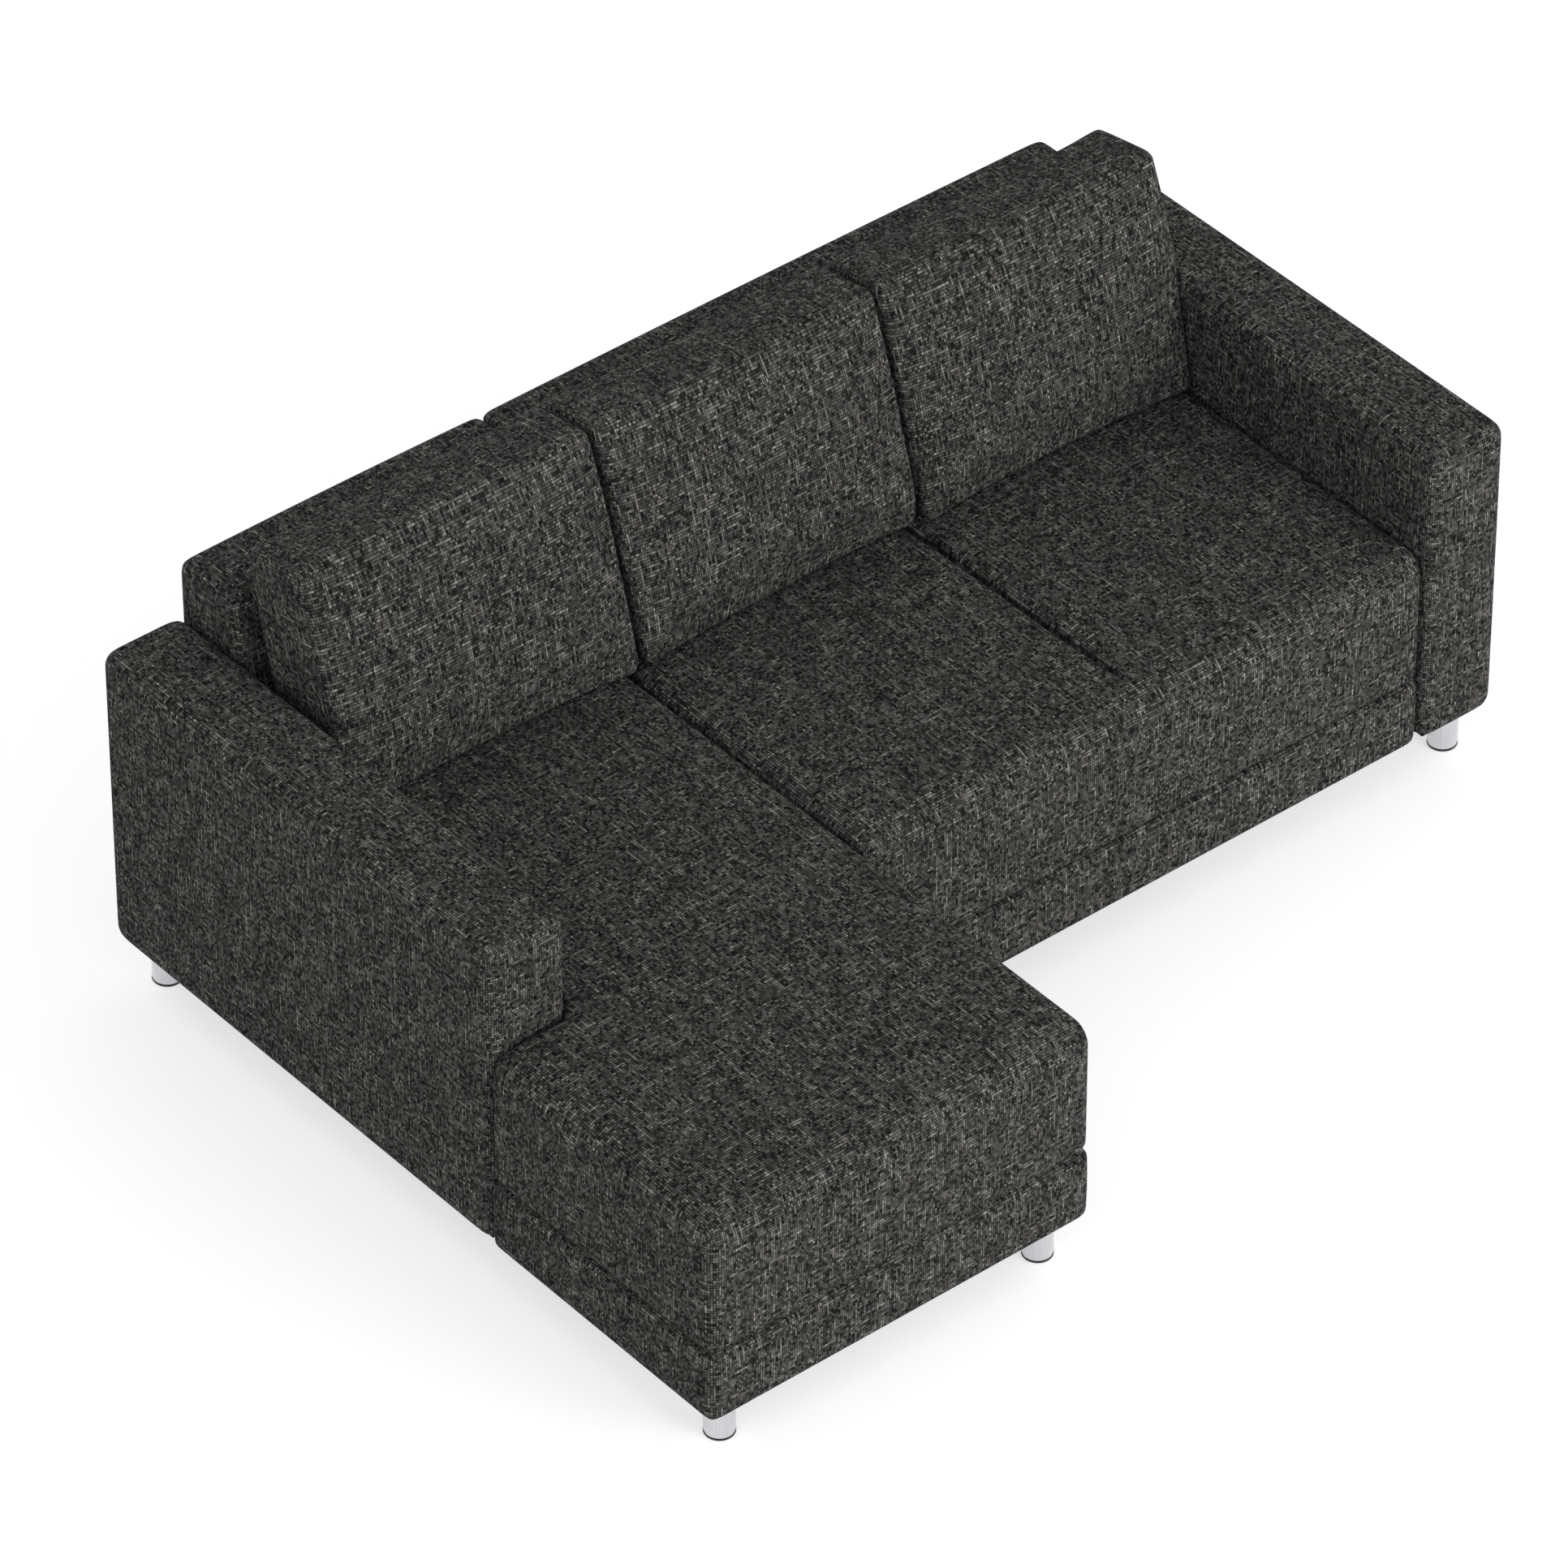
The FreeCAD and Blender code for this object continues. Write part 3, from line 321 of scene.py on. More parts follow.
def roundAndRemesh(name, bm, radiusAt, widest, voxel):
    # Rounds each edge of a cage by its own radius, then covers it with even quads
    layer = bm.edges.layers.float.new("bevel_weight_edge")
    for edge in bm.edges:
        middle = (edge.verts[0].co + edge.verts[1].co) / 2
        run = edge.verts[1].co - edge.verts[0].co
        along = max(range(3), key=lambda i: abs(run[i]))
        edge[layer] = radiusAt(middle, along) / widest
    piece = newPiece(name, bm, "upholstery")
    bevel = piece.modifiers.new("Rounding", "BEVEL")
    bevel.limit_method = "WEIGHT"
    bevel.width = widest
    bevel.segments = roundingSteps
    remesh = piece.modifiers.new("EvenQuads", "REMESH")
    remesh.mode = "VOXEL"
    remesh.voxel_size = voxel
    settle(piece)
    bm = openMesh(piece)
    bmesh.ops.smooth_vert(bm, verts=bm.verts, factor=0.5,
                          use_axis_x=True, use_axis_y=True, use_axis_z=True)
    closeMesh(bm, piece.data)
    return piece


def aroundCorner(home, side, homeEdge, sideEdge, radius):
    # Distance along the surface from a home face, over its rounded edge and down the side.
    # The home face has home above homeEdge, and the side has side below sideEdge.
    if home >= homeEdge:
        return home
    if side <= sideEdge:
        return homeEdge - radius * pi / 2 - (sideEdge - side)
    return homeEdge - radius * atan2(homeEdge - home, side - sideEdge)


def unrollWeave(piece, low, high, radius):
    # The fabric's own coordinates in metres: x along the sofa, and round the edges from the
    # top to the front and from the front to the sides
    bm = openMesh(piece)
    layer = bm.loops.layers.uv.new("weave")
    bm.normal_update()
    middleX = (low.x + high.x) / 2
    middleY = (low.y + high.y) / 2
    topEdge = high.z - radius
    faceHeight = low.y + radius - radius * pi / 2 - topEdge
    for face in bm.faces:
        n = face.normal
        sideways = abs(n.x) > max(abs(n.y), abs(n.z))
        level = not sideways and abs(n.z) > abs(n.y)
        for loop in face.loops:
            p = loop.vert.co
            if p.y < middleY:
                drop = aroundCorner(p.y, p.z, low.y + radius, topEdge, radius)
            else:
                drop = -aroundCorner(-p.y, p.z, -high.y + radius, topEdge, radius)
            if level and n.z < 0:
                drop = p.y
            if level or (n.y > 0 and not sideways):
                girth = p.x
            elif p.x < middleX:
                girth = aroundCorner(p.x, -p.y, low.x + radius, -low.y - radius, radius)
            else:
                girth = -aroundCorner(-p.x, -p.y, -high.x + radius, -low.y - radius, radius)
            if sideways:
                drop = faceHeight + p.z
            loop[layer].uv = (girth, drop)
    closeMesh(bm, piece.data)


def reshape(piece, form):
    for vertex in piece.data.vertices:
        vertex.co = form(vertex.co.copy())
    piece.data.update()


def fromEdges(point, plan):
    # How far a point stands from the nearest side of a plan
    flat = Vector(point[:2])
    distances = []
    for start, end in zip(plan, plan[1:] + plan[:1]):
        near, share = intersect_point_line(flat, Vector(start), Vector(end))
        near = Vector(start).lerp(Vector(end), clamp(share))
        distances.append((near - flat).length)
    return min(distances)


underside = {"lip": 0.02, "recess": 0.003, "facing": -0.9, "layer": 0.004}


def recessUnderside(piece, plan, low):
    # The dust cloth lies in a shallow recess, inside a lip of folded fabric
    bm = openMesh(piece)
    inner = []
    for face in bm.faces:
        middle = face.calc_center_median()
        if face.normal.z < underside["facing"] and middle.z < low + underside["layer"]:
            if fromEdges(middle, plan) > underside["lip"]:
                inner.append(face)
    raised = bmesh.ops.extrude_face_region(bm, geom=inner)["geom"]
    corners = vertsOf(raised)
    bmesh.ops.delete(bm, geom=inner, context="FACES")
    bmesh.ops.translate(bm, verts=corners, vec=(0, 0, underside["recess"]))
    closeMesh(bm, piece.data)


def finishPiece(piece, body, nodes):
    subdivision = piece.modifiers.new("Softness", "SUBSURF")
    subdivision.levels = 1
    subdivision.render_levels = 1
    for face in piece.data.polygons:
        face.use_smooth = True
    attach(piece, body)
    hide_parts(*nodes)
    print("piece:", piece.name, len(piece.data.polygons), "faces")


# Arms

arm = {"radius": 0.022, "bottomRadius": 0.021, "swell": 0.0025, "voxel": 0.0105, "fill": 0.9}


def makeArm(side, outward):
    low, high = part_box(side + "_arm_cover")
    size = high - low

    def radiusAt(middle, along):
        onBottom = along != 2 and middle.z < low.z + nearSide
        return arm["bottomRadius"] if onBottom else arm["radius"]

    piece = roundAndRemesh(side + "ArmUpholstery", boxCage(low, high), radiusAt, arm["radius"],
                           arm["voxel"])
    unrollWeave(piece, low, high, arm["radius"])

    def form(p):
        across = (p.x - low.x) / size.x
        rearward = (p.y - low.y) / size.y
        up = (p.z - low.z) / size.z
        outer = across if outward > 0 else 1 - across
        p.x += outward * arm["swell"] * outer * bulge(rearward) * bulge(up)
        p.z += arm["swell"] * bulge(rearward) * bulge(across) * max(0, 2 * up - 1)
        p.y -= arm["swell"] * (1 - rearward) * bulge(across) * bulge(up)
        return p

    reshape(piece, form)
    recessUnderside(piece, boxPlan(low, high), low.z)
    finishPiece(piece, "frame", [side + "_arm_cover", side + "_arm_foam"])


makeArm("left", -1)
makeArm("right", 1)


# Backs

back = {"topThickness": 0.137, "lean": 14, "knee": 0.424, "rearRadius": 0.022,
        "frontRadius": 0.034, "endRadius": 0.013, "splitRadius": 0.008, "footRadius": 0.004,
        "frontEndRadius": 0.006, "swell": 0.003, "swellFrom": 0.6, "swellRise": 0.154,
        "overhang": 0.005, "overArmRise": 0.05, "voxel": 0.0105, "fill": 0.8}
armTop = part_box("right_arm_cover")[1].z
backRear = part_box("left_back_cover")[1].y
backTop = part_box("left_back_cover")[1].z


def overArm(z):
    # 0 up to the top of the arms and 1 a little above it
    return clamp((z - armTop) / back["overArmRise"])


def backFrontAt(z):
    # The leaning front of the back, straight below the knee
    lean = (backTop - max(z, back["knee"])) * tan(radians(back["lean"]))
    return backRear - back["topThickness"] - lean


def backPlan(low, high):
    return [(low.x, backFrontAt(0)), (high.x, backFrontAt(0)), (high.x, high.y), (low.x, high.y)]


def makeBack(side, leftRadius, rightRadius, overhang):
    low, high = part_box(side + "_back_cover")
    flatFront = backRear - back["topThickness"]
    flatLow = Vector((low.x, flatFront, low.z))

    def radiusAt(middle, along):
        if middle.z < low.z + nearSide:
            return back["footRadius"]
        atFront = middle.y < flatFront + nearSide
        if along == 0:
            return back["frontRadius"] if atFront else back["rearRadius"]
        if along == 2 and atFront:
            return back["frontEndRadius"]
        return leftRadius if middle.x < low.x + nearSide else rightRadius

    piece = roundAndRemesh(side + "BackUpholstery", planCage(boxPlan(flatLow, high), low.z, high.z),
                           radiusAt, back["frontRadius"], back["voxel"])
    unrollWeave(piece, flatLow, high, back["rearRadius"])

    def form(p):
        share = (high.y - p.y) / (high.y - flatFront)
        p.y = high.y - share * (high.y - backFrontAt(p.z))
        across = (p.x - low.x) / (high.x - low.x)
        p.x += overhang * overArm(p.z) * across ** 4
        p.z += back["swell"] * bulge(across) * max(0, (p.z - back["swellFrom"]) / back["swellRise"])
        return p

    reshape(piece, form)
    recessUnderside(piece, backPlan(low, high), low.z)
    finishPiece(piece, "frame", [side + "_back_cover", side + "_back_foam"])


makeBack("left", back["endRadius"], back["splitRadius"], 0)
makeBack("right", back["splitRadius"], back["endRadius"], back["overhang"])


# Seats

seat = {"top": 0.460, "frontRadius": 0.047, "sideRadius": 0.036, "innerRadius": 0.022,
        "jointRadius": 0.026, "armRadius": 0.014, "planRadius": 0.021, "rearRadius": 0.006,
        "seamRadius": 0.008, "armGap": 0.0003, "crown": 0.008, "crownFrom": 0.36,
        "crownRise": 3.2, "crownGap": 0.01, "swell": 0.003, "swellDepth": 0.06, "voxel": 0.0115,
        "fill": 0.8}
groove = {"depth": 0.017, "width": 0.030, "stop": 0.075, "fade": 0.16, "sharpness": 1.8,
          "slitDepth": 0.016, "slitWidth": 0.0055, "slitStop": 0.050, "slitFade": 0.05,
          "cuts": (0.002, 0.005, 0.009, 0.015, 0.024), "cutSnap": 0.0008}
cushionFoot = {"fromRear": 0.244, "depth": 0.155}       # where a loose cushion stands
cushionRearFoot = backRear - cushionFoot["fromRear"]
cushionFront = cushionRearFoot - cushionFoot["depth"]
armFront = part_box("left_arm_cover")[0].y
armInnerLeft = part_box("left_arm_cover")[1].x


def cutForGroove(piece, grooveX):
    # Close cuts on both sides of the groove, so its mesh can fold sharply
    bm = openMesh(piece)
    for offset in [-cut for cut in reversed(groove["cuts"])] + [0] + list(groove["cuts"]):
        geometry = bm.verts[:] + bm.edges[:] + bm.faces[:]
        bmesh.ops.bisect_plane(bm, geom=geometry, dist=groove["cutSnap"],
                               plane_co=(grooveX + offset, 0, 0), plane_no=(1, 0, 0))
    closeMesh(bm, piece.data)


def makeSeat(side, plan, leftRadius, rightRadius, grooveX):
    low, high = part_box(side + "_seat_cover")
    top = Vector((high.x, high.y, seat["top"]))

    def radiusAt(middle, along):
        atFront = middle.y < low.y + nearSide
        if along == 2:
            return seat["planRadius"] if atFront else seat["rearRadius"]
        if middle.z < low.z + nearSide:
            return seat["seamRadius"]
        if along == 0:
            return seat["frontRadius"] if atFront else seat["armRadius"]
        if middle.x < low.x + nearSide:
            return leftRadius
        return rightRadius if middle.x > high.x - nearSide else seat["armRadius"]

    piece = roundAndRemesh(side + "SeatUpholstery", planCage(plan, low.z, seat["top"]), radiusAt,
                           seat["frontRadius"], seat["voxel"])
    if grooveX:
        cutForGroove(piece, grooveX)
    unrollWeave(piece, low, top, seat["sideRadius"])

    def form(p):
        across = (p.x - low.x) / (high.x - low.x)
        ahead = clamp((cushionFront - seat["crownGap"] - p.y) / (cushionFront - low.y))
        crown = seat["crown"] * min(1, seat["crownRise"] * bulge(across)) * sqrt(bulge(ahead))
        aloft = max(0.0, (p.z - seat["crownFrom"]) / (seat["top"] - seat["crownFrom"]))
        face = bulge((p.z - low.z) / (seat["top"] - low.z))
        nearFront = max(0, 1 - (p.y - low.y) / seat["swellDepth"])
        p.y -= seat["swell"] * face * bulge(across) * nearFront
        p.z += crown * aloft
        if grooveX:
            fromFront = p.y - low.y
            aside = abs(p.x - grooveX)
            away = aside / groove["width"]
            if away < 1:
                reach = clamp((fromFront - groove["stop"]) / groove["fade"])
                p.z -= groove["depth"] * reach * (1 - away) ** groove["sharpness"] * aloft
            # The fabric is sewn down in the middle of the groove
            drawn = clamp((fromFront - groove["slitStop"]) / groove["slitFade"])
            p.z -= groove["slitDepth"] * drawn * max(0, 1 - aside / groove["slitWidth"]) * aloft
        return p

    reshape(piece, form)
    finishPiece(piece, "frame", [side + "_seat_cover", side + "_seat_foam"])


leftLow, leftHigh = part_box("left_seat_cover")
rightLow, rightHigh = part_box("right_seat_cover")
besideArm = armInnerLeft + seat["armGap"]
beforeArm = armFront - seat["armGap"]
leftPlan = [(leftLow.x, leftLow.y), (leftHigh.x, leftLow.y), (leftHigh.x, leftHigh.y),
            (besideArm, leftHigh.y), (besideArm, beforeArm), (leftLow.x, beforeArm)]
rightPlan = boxPlan(rightLow, rightHigh)
makeSeat("left", leftPlan, seat["sideRadius"], seat["innerRadius"], None)
makeSeat("right", rightPlan, seat["jointRadius"], seat["armRadius"],
         (rightLow.x + rightHigh.x) / 2)


# Borders below the seats

border = {"radius": 0.018, "rearRadius": 0.004, "topRadius": 0.004,
          "footRadii": {"left": 0.007, "right": 0.014}, "sideFootRadius": 0.014, "swell": 0.002,
          "faceDepth": 0.005, "neckInset": 0.010, "neckRise": 0.016, "voxel": 0.0085, "fill": 0.9}


def addNeck(piece, plan, top):
    # The fabric tucked into the seam, seen only as its dark line
    bm = openMesh(piece)
    layer = bm.loops.layers.uv["weave"]
    base = bm.faces.new([bm.verts.new((x, y, top - border["neckRise"])) for x, y in plan])
    base.normal_update()
    rim = bmesh.ops.inset_region(bm, faces=[base], thickness=border["neckInset"],
                                 use_boundary=True, use_even_offset=True)["faces"]
    bmesh.ops.delete(bm, geom=rim, context="FACES")
    raised = bmesh.ops.extrude_face_region(bm, geom=[base], use_keep_orig=True)["geom"]
    bmesh.ops.translate(bm, verts=vertsOf(raised), vec=(0, 0, 2 * border["neckRise"]))
    lid = [g for g in raised if isinstance(g, bmesh.types.BMFace)]
    walls = [f for f in bm.faces if any(e in base.edges[:] for e in f.edges) and f != base]
    neck = list(set([base] + lid + walls))
    bmesh.ops.recalc_face_normals(bm, faces=neck)
    crease = bm.edges.layers.float.new("crease_edge")
    for face in neck:
        for edge in face.edges:
            edge[crease] = 1
        for loop in face.loops:
            loop[layer].uv = (loop.vert.co.x + loop.vert.co.y, loop.vert.co.z)
    closeMesh(bm, piece.data)


def makeBorder(side, plan, outerX):
    low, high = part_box(side + "_border_cover")

    def radiusAt(middle, along):
        if along == 2:
            return border["radius"] if middle.y < low.y + nearSide else border["rearRadius"]
        if middle.z > low.z + nearSide:
            return border["topRadius"]
        return border["footRadii"][side] if along == 0 else border["sideFootRadius"]

    piece = roundAndRemesh(side + "BorderUpholstery", planCage(plan, low.z, high.z), radiusAt,
                           border["radius"], border["voxel"])
    unrollWeave(piece, low, high, border["radius"])

    def form(p):
        # The padding bows out a little between the seam and the lower edge
        bow = border["swell"] * bulge((p.z - low.z) / (high.z - low.z))
        if p.y < low.y + border["faceDepth"]:
            p.y -= bow
        for edge, way in outerX:
            if abs(p.x - edge) < border["faceDepth"]:
                p.x += way * bow
        return p

    reshape(piece, form)
    recessUnderside(piece, plan, low.z)
    addNeck(piece, plan, high.z)
    finishPiece(piece, "frame", [side + "_border_cover"])


makeBorder("left", leftPlan, [(leftLow.x, -1), (leftHigh.x, 1)])
makeBorder("right", rightPlan, [])


# Loose back cushions

cushion = {
    "height": 0.404, "topDepth": 0.137, "lean": 14, "topTilt": 10.5,
    "radius": 0.013, "footEndRadius": 0.028,
    "frontSwell": 0.020, "rearSwell": 0.020, "topSwell": 0.004,
    "endSwell": 0.80,           # share of the front's swell that is left at the ends
    "endDraw": -0.002,          # how far the ends draw in, so below 0 they stand out a little
    "endDrawAt": 0.2,           # the distance from the core at which endDraw is reached
    "endReach": 0.001,
    "footReach": 0.008, "footTuck": 0.014, "footZone": 0.22,
    "footTurn": {"left": 0, "middle": 0.018, "right": 0},
    "endShift": {"left": (0, 0.004), "middle": (0.004, 0), "right": (0, 0.006)},
    "lowShift": 0.2,            # share of the right end's shift left below the top of the arm
    "gapSlide": 0.008, "slideZone": 0.45,
    "voxel": 0.0085, "fill": 0.7,
}
air = {"frames": 20, "pressure": 4.0, "quality": 5, "cap": 0.012, "edgeShare": 0.15,
       "edgeRise": 1.6}


def inflate(piece, freedom):
    # Lets air pressure fill the piece, and keeps each point within its own reach
    rest = [v.co.copy() for v in piece.data.vertices]
    modifier = piece.modifiers.new("Inflate", "CLOTH")
    modifier.point_cache.frame_start = 1
    modifier.point_cache.frame_end = air["frames"]
    setup = modifier.settings
    setup.use_pressure = True
    setup.uniform_pressure_force = air["pressure"]
    setup.effector_weights.gravity = 0
    setup.quality = air["quality"]
    for frameNumber in range(1, air["frames"] + 1):
        scene.frame_set(frameNumber)
    settle(piece)
    scene.frame_set(1)
    for vertex, start in zip(piece.data.vertices, rest):
        move = vertex.co - start
        reach = air["cap"] * freedom(start)
        if move.length > reach:
            move *= reach / move.length
        vertex.co = start + move
    piece.data.update()


def makeCushion(side):
    node = side + "_back_cushion_cover"
    low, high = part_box(node)
    width = high.x - low.x
    height = cushion["height"]
    depth = cushionFoot["depth"]
    leftShift, rightShift = cushion["endShift"][side]
    boxLow = Vector((low.x, -depth, 0))
    boxHigh = Vector((high.x, 0, height))

    def radiusAt(middle, along):
        atFootEnd = along == 1 and middle.z < height / 2
        return cushion["footEndRadius"] if atFootEnd else cushion["radius"]

    piece = roundAndRemesh(side + "BackCushionUpholstery", boxCage(boxLow, boxHigh), radiusAt,
                           cushion["footEndRadius"], cushion["voxel"])
    unrollWeave(piece, boxLow, boxHigh, cushion["radius"])
    # The outline from the side, as points of depth and height
    lean = radians(cushion["lean"])
    tilt = radians(cushion["topTilt"])
    rearFoot = Vector((cushionRearFoot, low.z))
    rearTop = rearFoot + height * Vector((sin(lean), cos(lean)))
    frontTop = rearTop + cushion["topDepth"] * Vector((-cos(tilt), sin(tilt)))
    frontFoot = rearFoot - Vector((depth, 0))
    down = (frontFoot - frontTop).normalized()
    forward = Vector((down.y, -down.x))
    core = Vector(((frontFoot.x + rearTop.x) / 2, (low.z + rearTop.y) / 2))

    def form(p):
        across = (p.x - low.x) / width
        up = p.z / height
        ahead = -p.y / depth
        crown = bulge(across) ** 0.5
        place = (rearFoot.lerp(rearTop, up)).lerp(frontFoot.lerp(frontTop, up), ahead)
        fullness = cushion["endSwell"] + (1 - cushion["endSwell"]) * crown
        place += forward * cushion["frontSwell"] * ahead * bulge(up) * fullness
        place -= forward * cushion["rearSwell"] * (1 - ahead) * bulge(up) * crown
        place += Vector((0, 1)) * cushion["topSwell"] * up ** 2 * bulge(ahead) * crown
        # The foot's corners reach forward, and between them its edge is tucked back
        nearFoot = max(0.0, 1 - up / cushion["footZone"]) ** 2 * ahead
        setBack = cushion["footTuck"] * crown - cushion["footReach"] * (1 - crown)
        place += Vector((setBack + cushion["footTurn"][side] * across ** 2, 0)) * nearFoot
        place += (core - place) * cushion["endDraw"] * (1 - crown) / cushion["endDrawAt"]
        if side == "right":
            aboveArm = cushion["lowShift"] + (1 - cushion["lowShift"]) * overArm(place.y)
            p.x += aboveArm * rightShift * across ** 3
        else:
            p.x += rightShift * across ** 3 + leftShift * (1 - across) ** 3
        p.x += (2 * across - 1) ** 3 * cushion["endReach"]
        # The gaps between the cushions run a little aslant down to the seat
        nearGap = 0.0
        if side != "right":
            nearGap += across ** 3
        if side != "left":
            nearGap += (1 - across) ** 3
        p.x += cushion["gapSlide"] * nearGap * max(0.0, 1 - up / cushion["slideZone"])
        return Vector((p.x, place.x, place.y))

    def freedom(p):
        across = min(1, air["edgeRise"] * bulge((p.x - low.x) / width))
        up = min(1, air["edgeRise"] * bulge((p.z - low.z) / (high.z - low.z)))
        return air["edgeShare"] + (1 - air["edgeShare"]) * across * up

    reshape(piece, form)
    inflate(piece, freedom)
    finishPiece(piece, side + "_back_cushion", [node, side + "_back_cushion_core"])


for side in ("left", "middle", "right"):
    makeCushion(side)


# Dust linings under the arms, backs and seats

lining = {"lip": 0.0145, "low": 0.0800, "thickness": 0.0008, "sag": 0.0012, "sagReach": 0.07,
          "cell": 0.06, "cutSnap": 0.0005}


def makeLining(name, node, plan):
    bm = bmesh.new()
    sheet = bm.faces.new([bm.verts.new((x, y, lining["low"])) for x, y in plan])
    sheet.normal_update()
    rim = bmesh.ops.inset_region(bm, faces=[sheet], thickness=lining["lip"], use_boundary=True,
                                 use_even_offset=True)["faces"]
    bmesh.ops.delete(bm, geom=rim, context="FACES")
    area = sheet.calc_area()
    xs = [v.co.x for v in bm.verts]
    ys = [v.co.y for v in bm.verts]
    low = Vector((min(xs), min(ys), 0))
    high = Vector((max(xs), max(ys), 0))
    for axis in (0, 1):
        count = int((high[axis] - low[axis]) / lining["cell"])
        for cut in range(1, count):
            geometry = bm.verts[:] + bm.edges[:] + bm.faces[:]
            bmesh.ops.bisect_plane(bm, geom=geometry, dist=lining["cutSnap"],
                                   plane_co=low.lerp(high, cut / count),
                                   plane_no=(1 - axis, axis, 0))
    for vertex in bm.verts:
        away = fromEdges(vertex.co, plan) / lining["sagReach"] - lining["lip"] / lining["sagReach"]
        vertex.co.z -= lining["sag"] * clamp(away)
    bmesh.ops.recalc_face_normals(bm, faces=bm.faces)
    bmesh.ops.solidify(bm, geom=bm.faces[:], thickness=lining["thickness"])
    bmesh.ops.recalc_face_normals(bm, faces=bm.faces)
    piece = newPiece(name, bm, "lining_cloth")
    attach(piece, "frame")
    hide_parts(node)
    print("piece:", name)


for side, seatPlan in (("left", leftPlan), ("right", rightPlan)):
    linings = side + "_linings"
    armPlan = boxPlan(*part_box(side + "_arm_cover"))
    makeLining(side + "ArmLining", linings, armPlan)
    makeLining(side + "BackLining", linings, backPlan(*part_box(side + "_back_cover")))
    makeLining(side + "SeatLining", linings, seatPlan)


# Legs and glides

leg = {"radius": 0.025, "wall": 0.0015, "roof": 0.003, "edge": 0.0012, "edgeShare": 0.3,
       "ringTop": 0.0045, "top": 0.080, "flatFacing": 0.9}
glide = {"proud": 0.0003, "footInset": 0.002, "edgeInset": 0.0006, "edgeTop": 0.0018,
         "plugRadius": 0.022, "plugTop": 0.0155}
turning = {"steps": 64, "sameCorner": 0.0001, "sameRing": 0.00001}


def legPlaces(node):
    # The middle of each separate tube of a CAD node
    bm = openMesh(frame["nodes"][node])
    bmesh.ops.remove_doubles(bm, verts=bm.verts, dist=turning["sameCorner"])
    seen = set()
    places = []
    for vertex in bm.verts:
        if vertex in seen:
            continue
        group = [vertex]
        seen.add(vertex)
        for current in group:
            for edge in current.link_edges:
                other = edge.other_vert(current)
                if other not in seen:
                    seen.add(other)
                    group.append(other)
        xs = [v.co.x for v in group]
        ys = [v.co.y for v in group]
        places.append(((min(xs) + max(xs)) / 2, (min(ys) + max(ys)) / 2))
    bm.free()
    return places


def turnedPiece(name, node, slot, profile):
    # Spins a profile of radius and height round the middle of each leg
    bm = bmesh.new()
    for x, y in legPlaces(node):
        corners = [bm.verts.new((x + r, y, z)) for r, z in profile]
        edges = [bm.edges.new(pair) for pair in zip(corners, corners[1:])]
        bmesh.ops.spin(bm, geom=corners + edges, cent=(x, y, 0), axis=(0, 0, 1), angle=2 * pi,
                       steps=turning["steps"], use_merge=True)
    bmesh.ops.remove_doubles(bm, verts=bm.verts, dist=turning["sameRing"])
    bmesh.ops.recalc_face_normals(bm, faces=bm.faces)
    piece = newPiece(name, bm, slot)
    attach(piece, "frame")
    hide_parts(node)
    print("piece:", name)
    return piece


def makeLegs(name, node):
    r, edge, inner = leg["radius"], leg["edge"], leg["radius"] - leg["wall"]
    bent = edge * leg["edgeShare"]
    low, high, roof = leg["ringTop"], leg["top"], leg["top"] - leg["roof"]
    profile = [(0, high), (r - edge, high), (r - bent, high - bent), (r, high - edge),
               (r, low + edge), (r - bent, low + bent), (r - edge, low), (inner, low),
               (inner, roof), (0, roof)]
    piece = turnedPiece(name, node, "chrome_legs", profile)
    for face in piece.data.polygons:
        face.use_smooth = abs(face.normal.z) < leg["flatFacing"]


def makeGlides():
    r = leg["radius"] + glide["proud"]
    edge = glide["edgeInset"]
    profile = [(0, 0), (r - glide["footInset"], 0), (r - edge, edge), (r, glide["edgeTop"]),
               (r, leg["ringTop"]), (glide["plugRadius"], leg["ringTop"]),
               (glide["plugRadius"], glide["plugTop"]), (0, glide["plugTop"])]
    turnedPiece("legGlides", "leg_glides", "glide_plastic", profile)


makeLegs("leftLegs", "left_legs")
makeLegs("rightLegs", "right_legs")
makeGlides()


# Floor, light and camera

studio = {"floorSize": 30, "floorColour": "#e6e6e6", "floorRoughness": 0.9, "floorGloss": 0.1,
          "floorLift": 0.60, "ambient": 0.54, "lampTarget": (0, 0, 0.4),
          "keyPower": 345, "keySize": 5.0, "keyPlace": (2.0, -8.0, 2.0),
          "fillPower": 40, "fillSize": 4.0, "fillPlace": (-7.0, -2.0, 2.4)}
view = {"lens": 251.47, "sensor": 36, "clipEnd": 200, "tilt": 50.9, "turn": -39.63,
        "place": (-8.6734, -10.1412, 11.1583)}
white = (1, 1, 1, 1)


def seenDirectly(tree):
    # 1 where the camera sees the surface itself, or in a mirror or through glass
    rays = addNode(tree, "LightPath")
    seen = addNode(tree, "Math", {"operation": "MAXIMUM"},
                   {0: rays.outputs["Is Camera Ray"], 1: rays.outputs["Is Glossy Ray"]})
    return addNode(tree, "Math", {"operation": "MAXIMUM"},
                   {0: seen.outputs[0], 1: rays.outputs["Is Transmission Ray"]}).outputs[0]


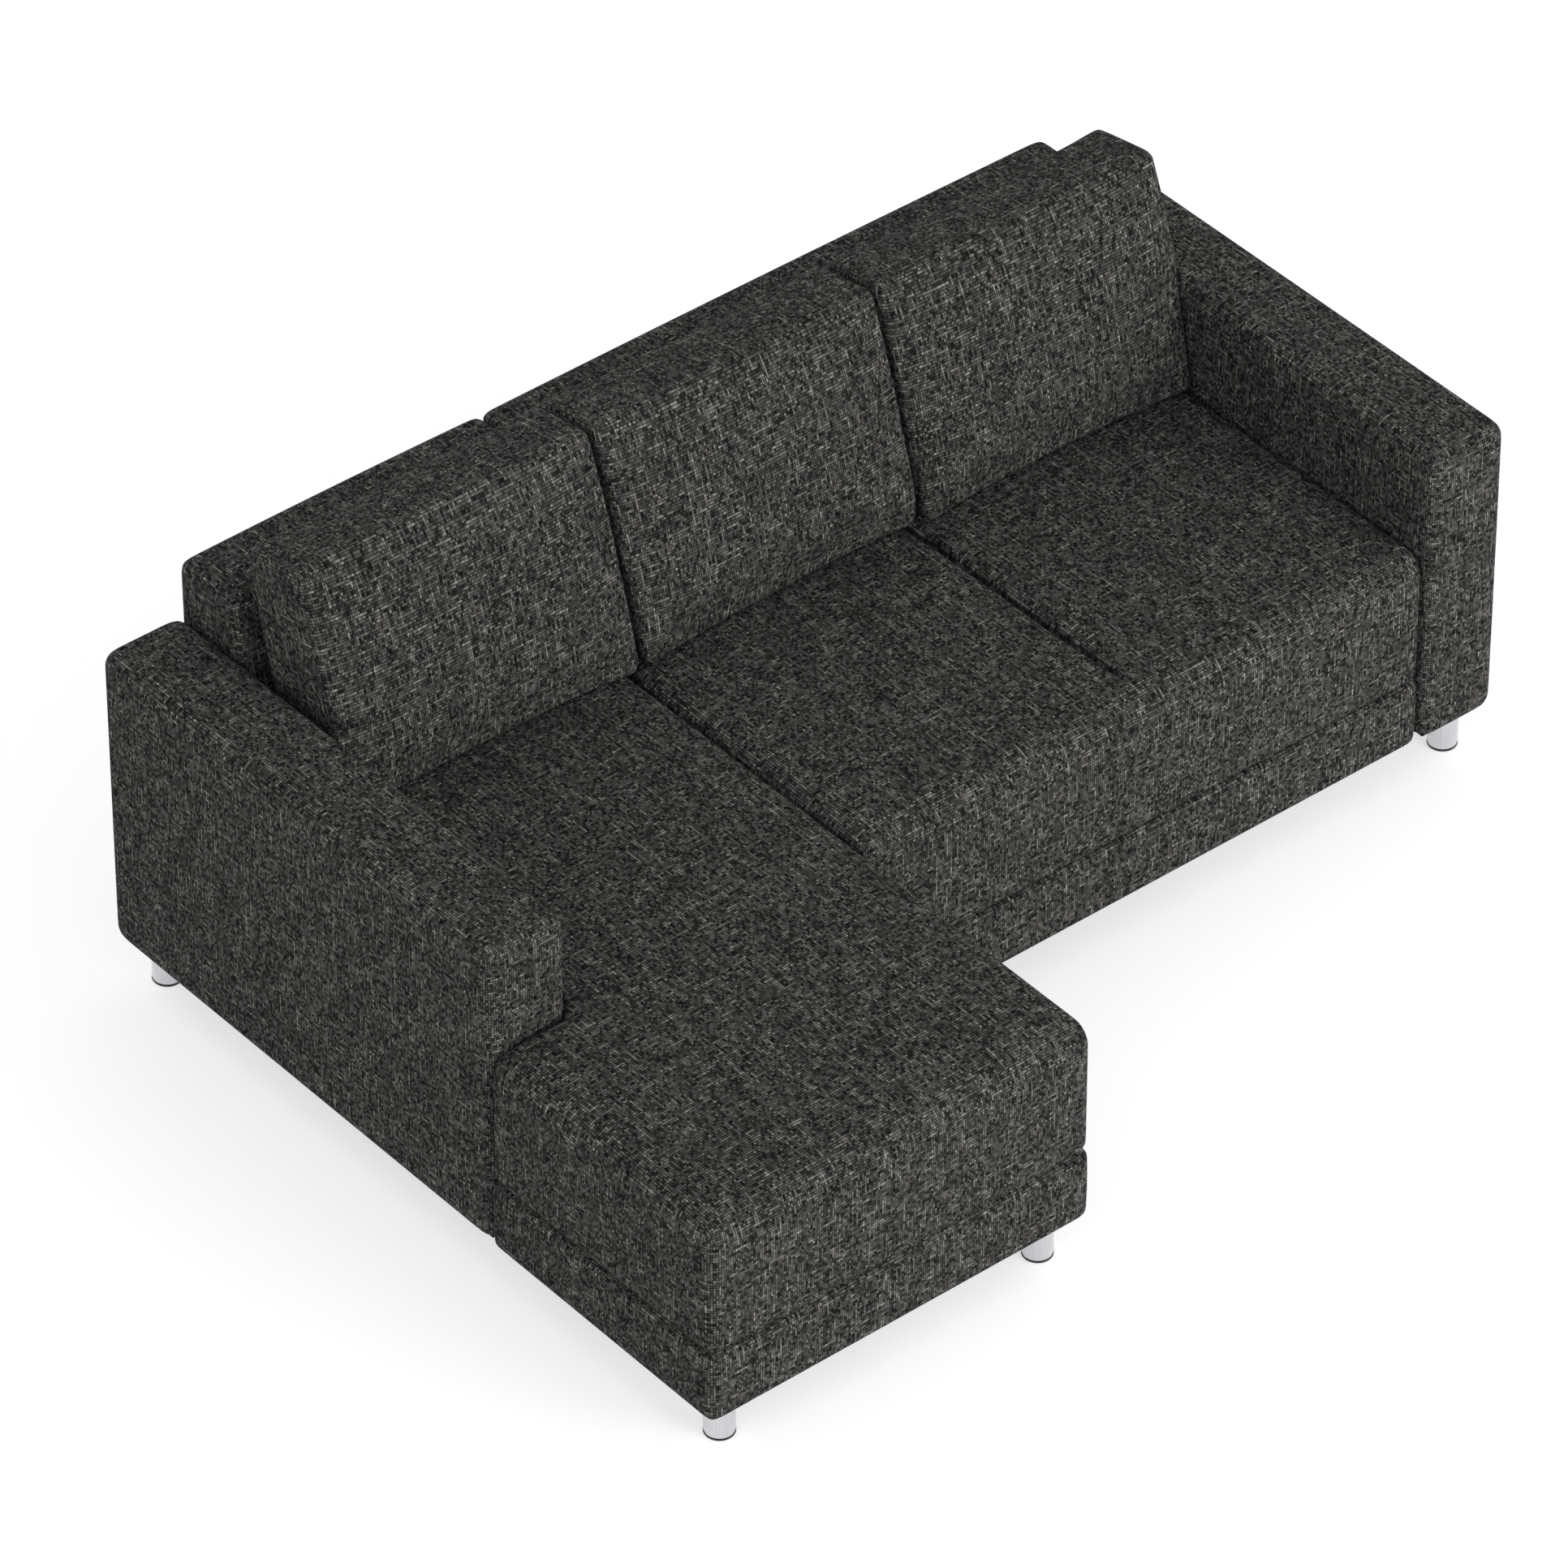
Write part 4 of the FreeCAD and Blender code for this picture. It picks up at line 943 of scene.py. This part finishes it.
def makeFloor():
    bm = bmesh.new()
    bmesh.ops.create_grid(bm, x_segments=1, y_segments=1, size=studio["floorSize"])
    mesh = bpy.data.meshes.new("studioFloor")
    closeMesh(bm, mesh)
    floor = bpy.data.objects.new("studioFloor", mesh)
    scene.collection.objects.link(floor)
    material, tree, principled = newMaterial("mattWhiteBackdrop", {
        "Base Color": hexColour(studio["floorColour"]), "Roughness": studio["floorRoughness"],
        "Specular IOR Level": studio["floorGloss"], "Emission Color": white})
    lift = addNode(tree, "Math", {"operation": "MULTIPLY"},
                   {0: seenDirectly(tree), 1: studio["floorLift"]})
    tree.links.new(lift.outputs[0], principled.inputs["Emission Strength"])
    mesh.materials.append(material)


def makeWorld():
    world = bpy.data.worlds.new("studioSky")
    world.use_nodes = True
    scene.world = world
    tree = world.node_tree
    background = tree.nodes["Background"]
    strength = addNode(tree, "MapRange", {}, {
        "Value": seenDirectly(tree), "To Min": studio["ambient"], "To Max": 1.0})
    background.inputs["Color"].default_value = white
    tree.links.new(strength.outputs[0], background.inputs["Strength"])


def addSoftbox(name, kind):
    lamp = bpy.data.lights.new(name, "AREA")
    lamp.shape = "SQUARE"
    lamp.size = studio[kind + "Size"]
    lamp.energy = studio[kind + "Power"]
    place = Vector(studio[kind + "Place"])
    aim = Vector(studio["lampTarget"]) - place
    softbox = bpy.data.objects.new(name, lamp)
    softbox.location = place
    softbox.rotation_euler = aim.to_track_quat("-Z", "Y").to_euler()
    scene.collection.objects.link(softbox)


makeFloor()
makeWorld()
addSoftbox("keySoftbox", "key")
addSoftbox("fillSoftbox", "fill")

lens = bpy.data.cameras.new("photoCamera")
lens.lens = view["lens"]
lens.sensor_width = view["sensor"]
lens.clip_end = view["clipEnd"]
camera = bpy.data.objects.new("photoCamera", lens)
camera.location = view["place"]
camera.rotation_euler = (radians(view["tilt"]), 0, radians(view["turn"]))
scene.collection.objects.link(camera)
scene.camera = camera
scene.view_settings.view_transform = "Standard"
print("studio: floor, lights and camera")
